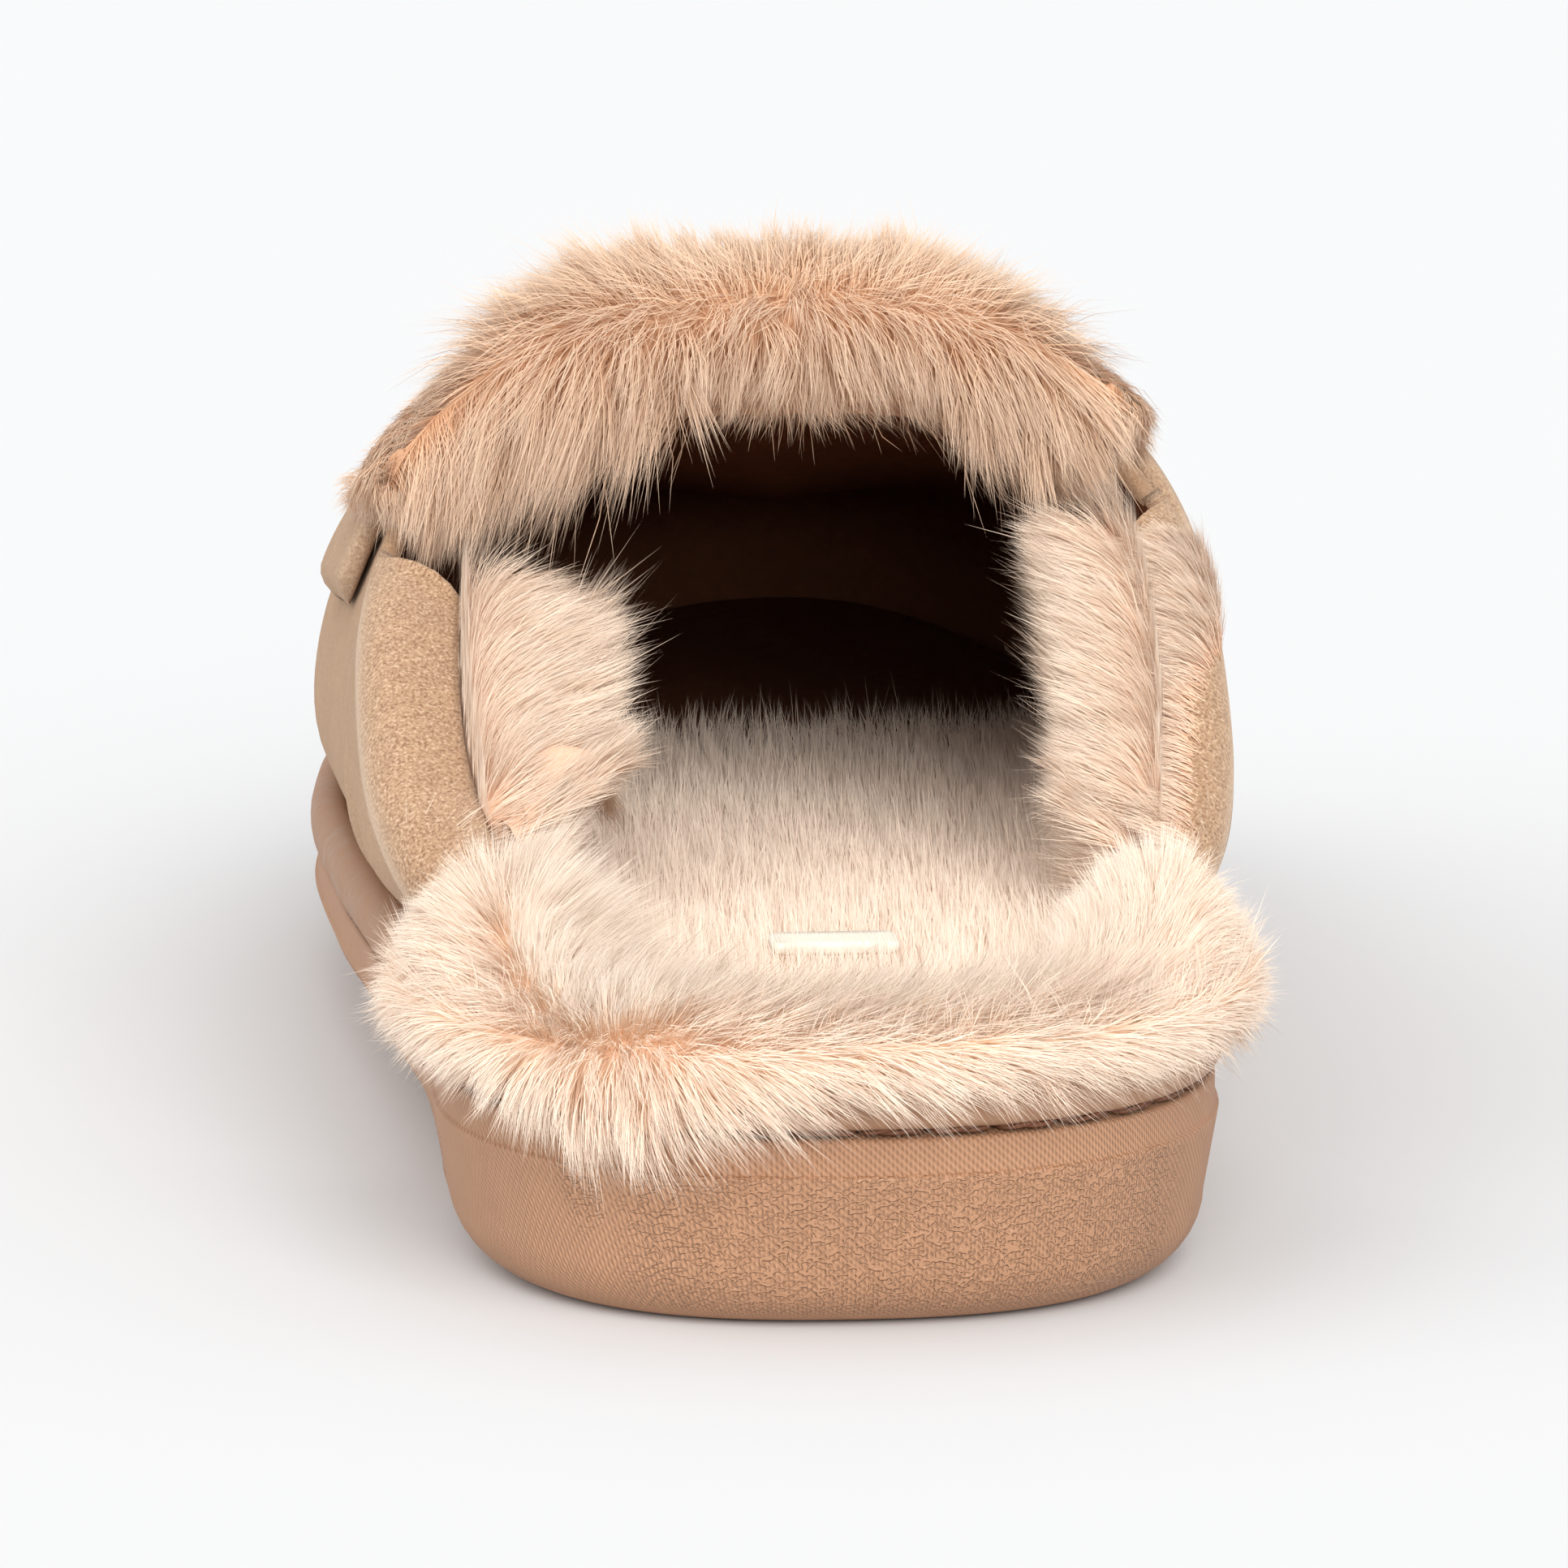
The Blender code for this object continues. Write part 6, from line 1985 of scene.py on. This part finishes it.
def comb_insole(root, normal, u, v):
    """Upright pile that leans to the toe, parted a little at random."""
    x, y, _ = root.T
    lay = vectors(0.10 * np.sin(x / 5.0 + y / 9.0), 1.0, 0.0)
    flat = np.ones(len(root))
    return lay, 1.15 * flat, 0.75 * flat, flat, 0.05 * flat


def insole_mesh_parts():
    """Closed footbed: rim rows, an underside grid and a top grid."""
    rows = insole_rows()
    under = across_grid(rows[0], ACROSS_PLAIN)
    top = across_grid(rows[-1], ACROSS_PLAIN)
    index = wrapped(number_grid(rows))
    grid = number_grid(under)
    start = rows[..., 0].size
    places = flat_map(*index.shape, (0.35, 0.0), (0.65, 0.04))
    flat = flat_map(*grid.shape, (0.35, 0.0), (0.65, 0.04))
    patches = [
        patch(index, places, flip=True),
        patch(grid + start, flat, flip=True),
        patch(grid + start + grid.size, flat),
    ]
    return np.concatenate([rows.reshape(-1, 3), under.reshape(-1, 3), top.reshape(-1, 3)]), patches


# %% Insole piece
INSOLE_SHOWN = 184.0
INSOLE_FADE = 14.0
INSOLE_PAINTED_SHADE_FROM = 168.0
LABEL_BED = np.array([1.5, 45.0])
LABEL_BED_HALF = (7.0, 5.0)
LABEL_PILE = 0.05
bed_points, bed_patches = insole_mesh_parts()
top_skin = outward(skin_of(insole_top(), False), np.array([0.0, 0.0, 1.0]))
top_station = top_skin["points"][..., 1]
top_weight = blend(INSOLE_SHOWN + INSOLE_FADE, INSOLE_SHOWN - INSOLE_FADE, top_station)
under_label = (np.abs(top_skin["points"][..., :2] - LABEL_BED) < LABEL_BED_HALF).all(axis=-1)
top_weight = top_weight * np.where(under_label, LABEL_PILE, 1.0)
bed_tufts = grow(top_skin, PILES["insole"], comb_insole, 31, top_weight)
insole_finish = make_pile_finish("insole pile", TONES["insole"])
bed_normals = np.tile(np.array([0.0, 0.0, 1.0]), (len(bed_points), 1))
bed_parts = [(bed_points, bed_patches, bed_normals), bed_tufts]
bed_finishes = [insole_finish, lining_finish]
insole = make_pile_piece("pile_insole", bed_parts, bed_finishes, "insole")
# painted shade: the footbed's faces past this station take the dark lining finish, for the shade under the
# vamp
bed_faces = sum(len(faces) for faces, _ in bed_patches)
middles = np.empty(3 * len(insole.data.polygons))
insole.data.polygons.foreach_get("center", middles)
painted_shade_faces = middles.reshape(-1, 3)[:, 1] / MM - SHIFT[1] > INSOLE_PAINTED_SHADE_FROM
painted_shade_faces[bed_faces:] = False
insole.data.polygons.foreach_set("material_index", painted_shade_faces.astype(np.int32))

# %% [markdown]
# ### Label
# A plain woven label lies in the pile near the heel. It is a rounded slab: the same superellipse ring at
# several sizes and heights, closed at the top and the bottom.

# %% Label
LABEL_PLACE = (1.5, 46.0, 27.8)
LABEL_HALF = (6.4, 3.4)
LABEL_THICK = 1.1
LABEL_SQUARE = 0.25
LABEL_STEPS = 64
LabelRow = namedtuple("LabelRow", "size height")
LABEL_ROWS = (
    LabelRow(0.0, 0.0),
    LabelRow(0.96, 0.0),
    LabelRow(1.0, 0.25),
    LabelRow(1.0, 0.75),
    LabelRow(0.96, 1.0),
    LabelRow(0.5, 1.0),
    LabelRow(0.0, 1.0),
)


def make_label_mesh():
    """Superellipse rings: cosine and sine to a small power, times each row's size and half lengths."""
    turn = np.arange(LABEL_STEPS) * 2.0 * math.pi / LABEL_STEPS
    wide = squared(np.cos(turn), LABEL_SQUARE) * LABEL_HALF[0]
    deep = squared(np.sin(turn), LABEL_SQUARE) * LABEL_HALF[1]
    size, height = np.array(LABEL_ROWS).T[:, :, None]
    points = vectors(size * wide, size * deep, height * LABEL_THICK) + np.array(LABEL_PLACE)
    index = wrapped(number_grid(points))
    mesh = lay_mesh("label", points.reshape(-1, 3), [patch(index, flat_map(*index.shape), flip=True)])
    weld(mesh)
    return mesh


def make_label_finish():
    """Cream tape: a wave texture as the weave's relief, faint mottling."""
    material, tree, shader = new_finish("label tape", 0.8, Specular_IOR_Level=0.2)
    spot, colour = mottled(tree, (0.86, 0.79, 0.68), 300.0, 0.1)
    tree.links.new(colour.outputs["Color"], shader.inputs["Base Color"])
    weave = add_node(tree, "ShaderNodeTexWave", Vector=spot, Scale=900.0)
    add_relief(tree, shader, weave.outputs["Fac"], 0.4, 0.0001)
    return material


add_piece("label", make_label_mesh(), [make_label_finish()])

# %% [markdown]
# ## The floor
# A plain pale floor carries the shadow.

# %% Floor
FLOOR_REACH = 6.0
floor_mesh = bpy.data.meshes.new("floor")
corner = np.array([(-1.0, -1.0, 0.0), (1.0, -1.0, 0.0), (1.0, 1.0, 0.0), (-1.0, 1.0, 0.0)]) * FLOOR_REACH
floor_mesh.from_pydata(corner.tolist(), [], [(0, 1, 2, 3)])
floor = bpy.data.objects.new("floor", floor_mesh)
bpy.context.scene.collection.objects.link(floor)
floor_finish, _, floor_shader = new_finish("pale floor", 0.9, Specular_IOR_Level=0.1)
floor_shader.inputs["Base Color"].default_value = tone(0.672, 0.676, 0.682)
floor_mesh.materials.append(floor_finish)
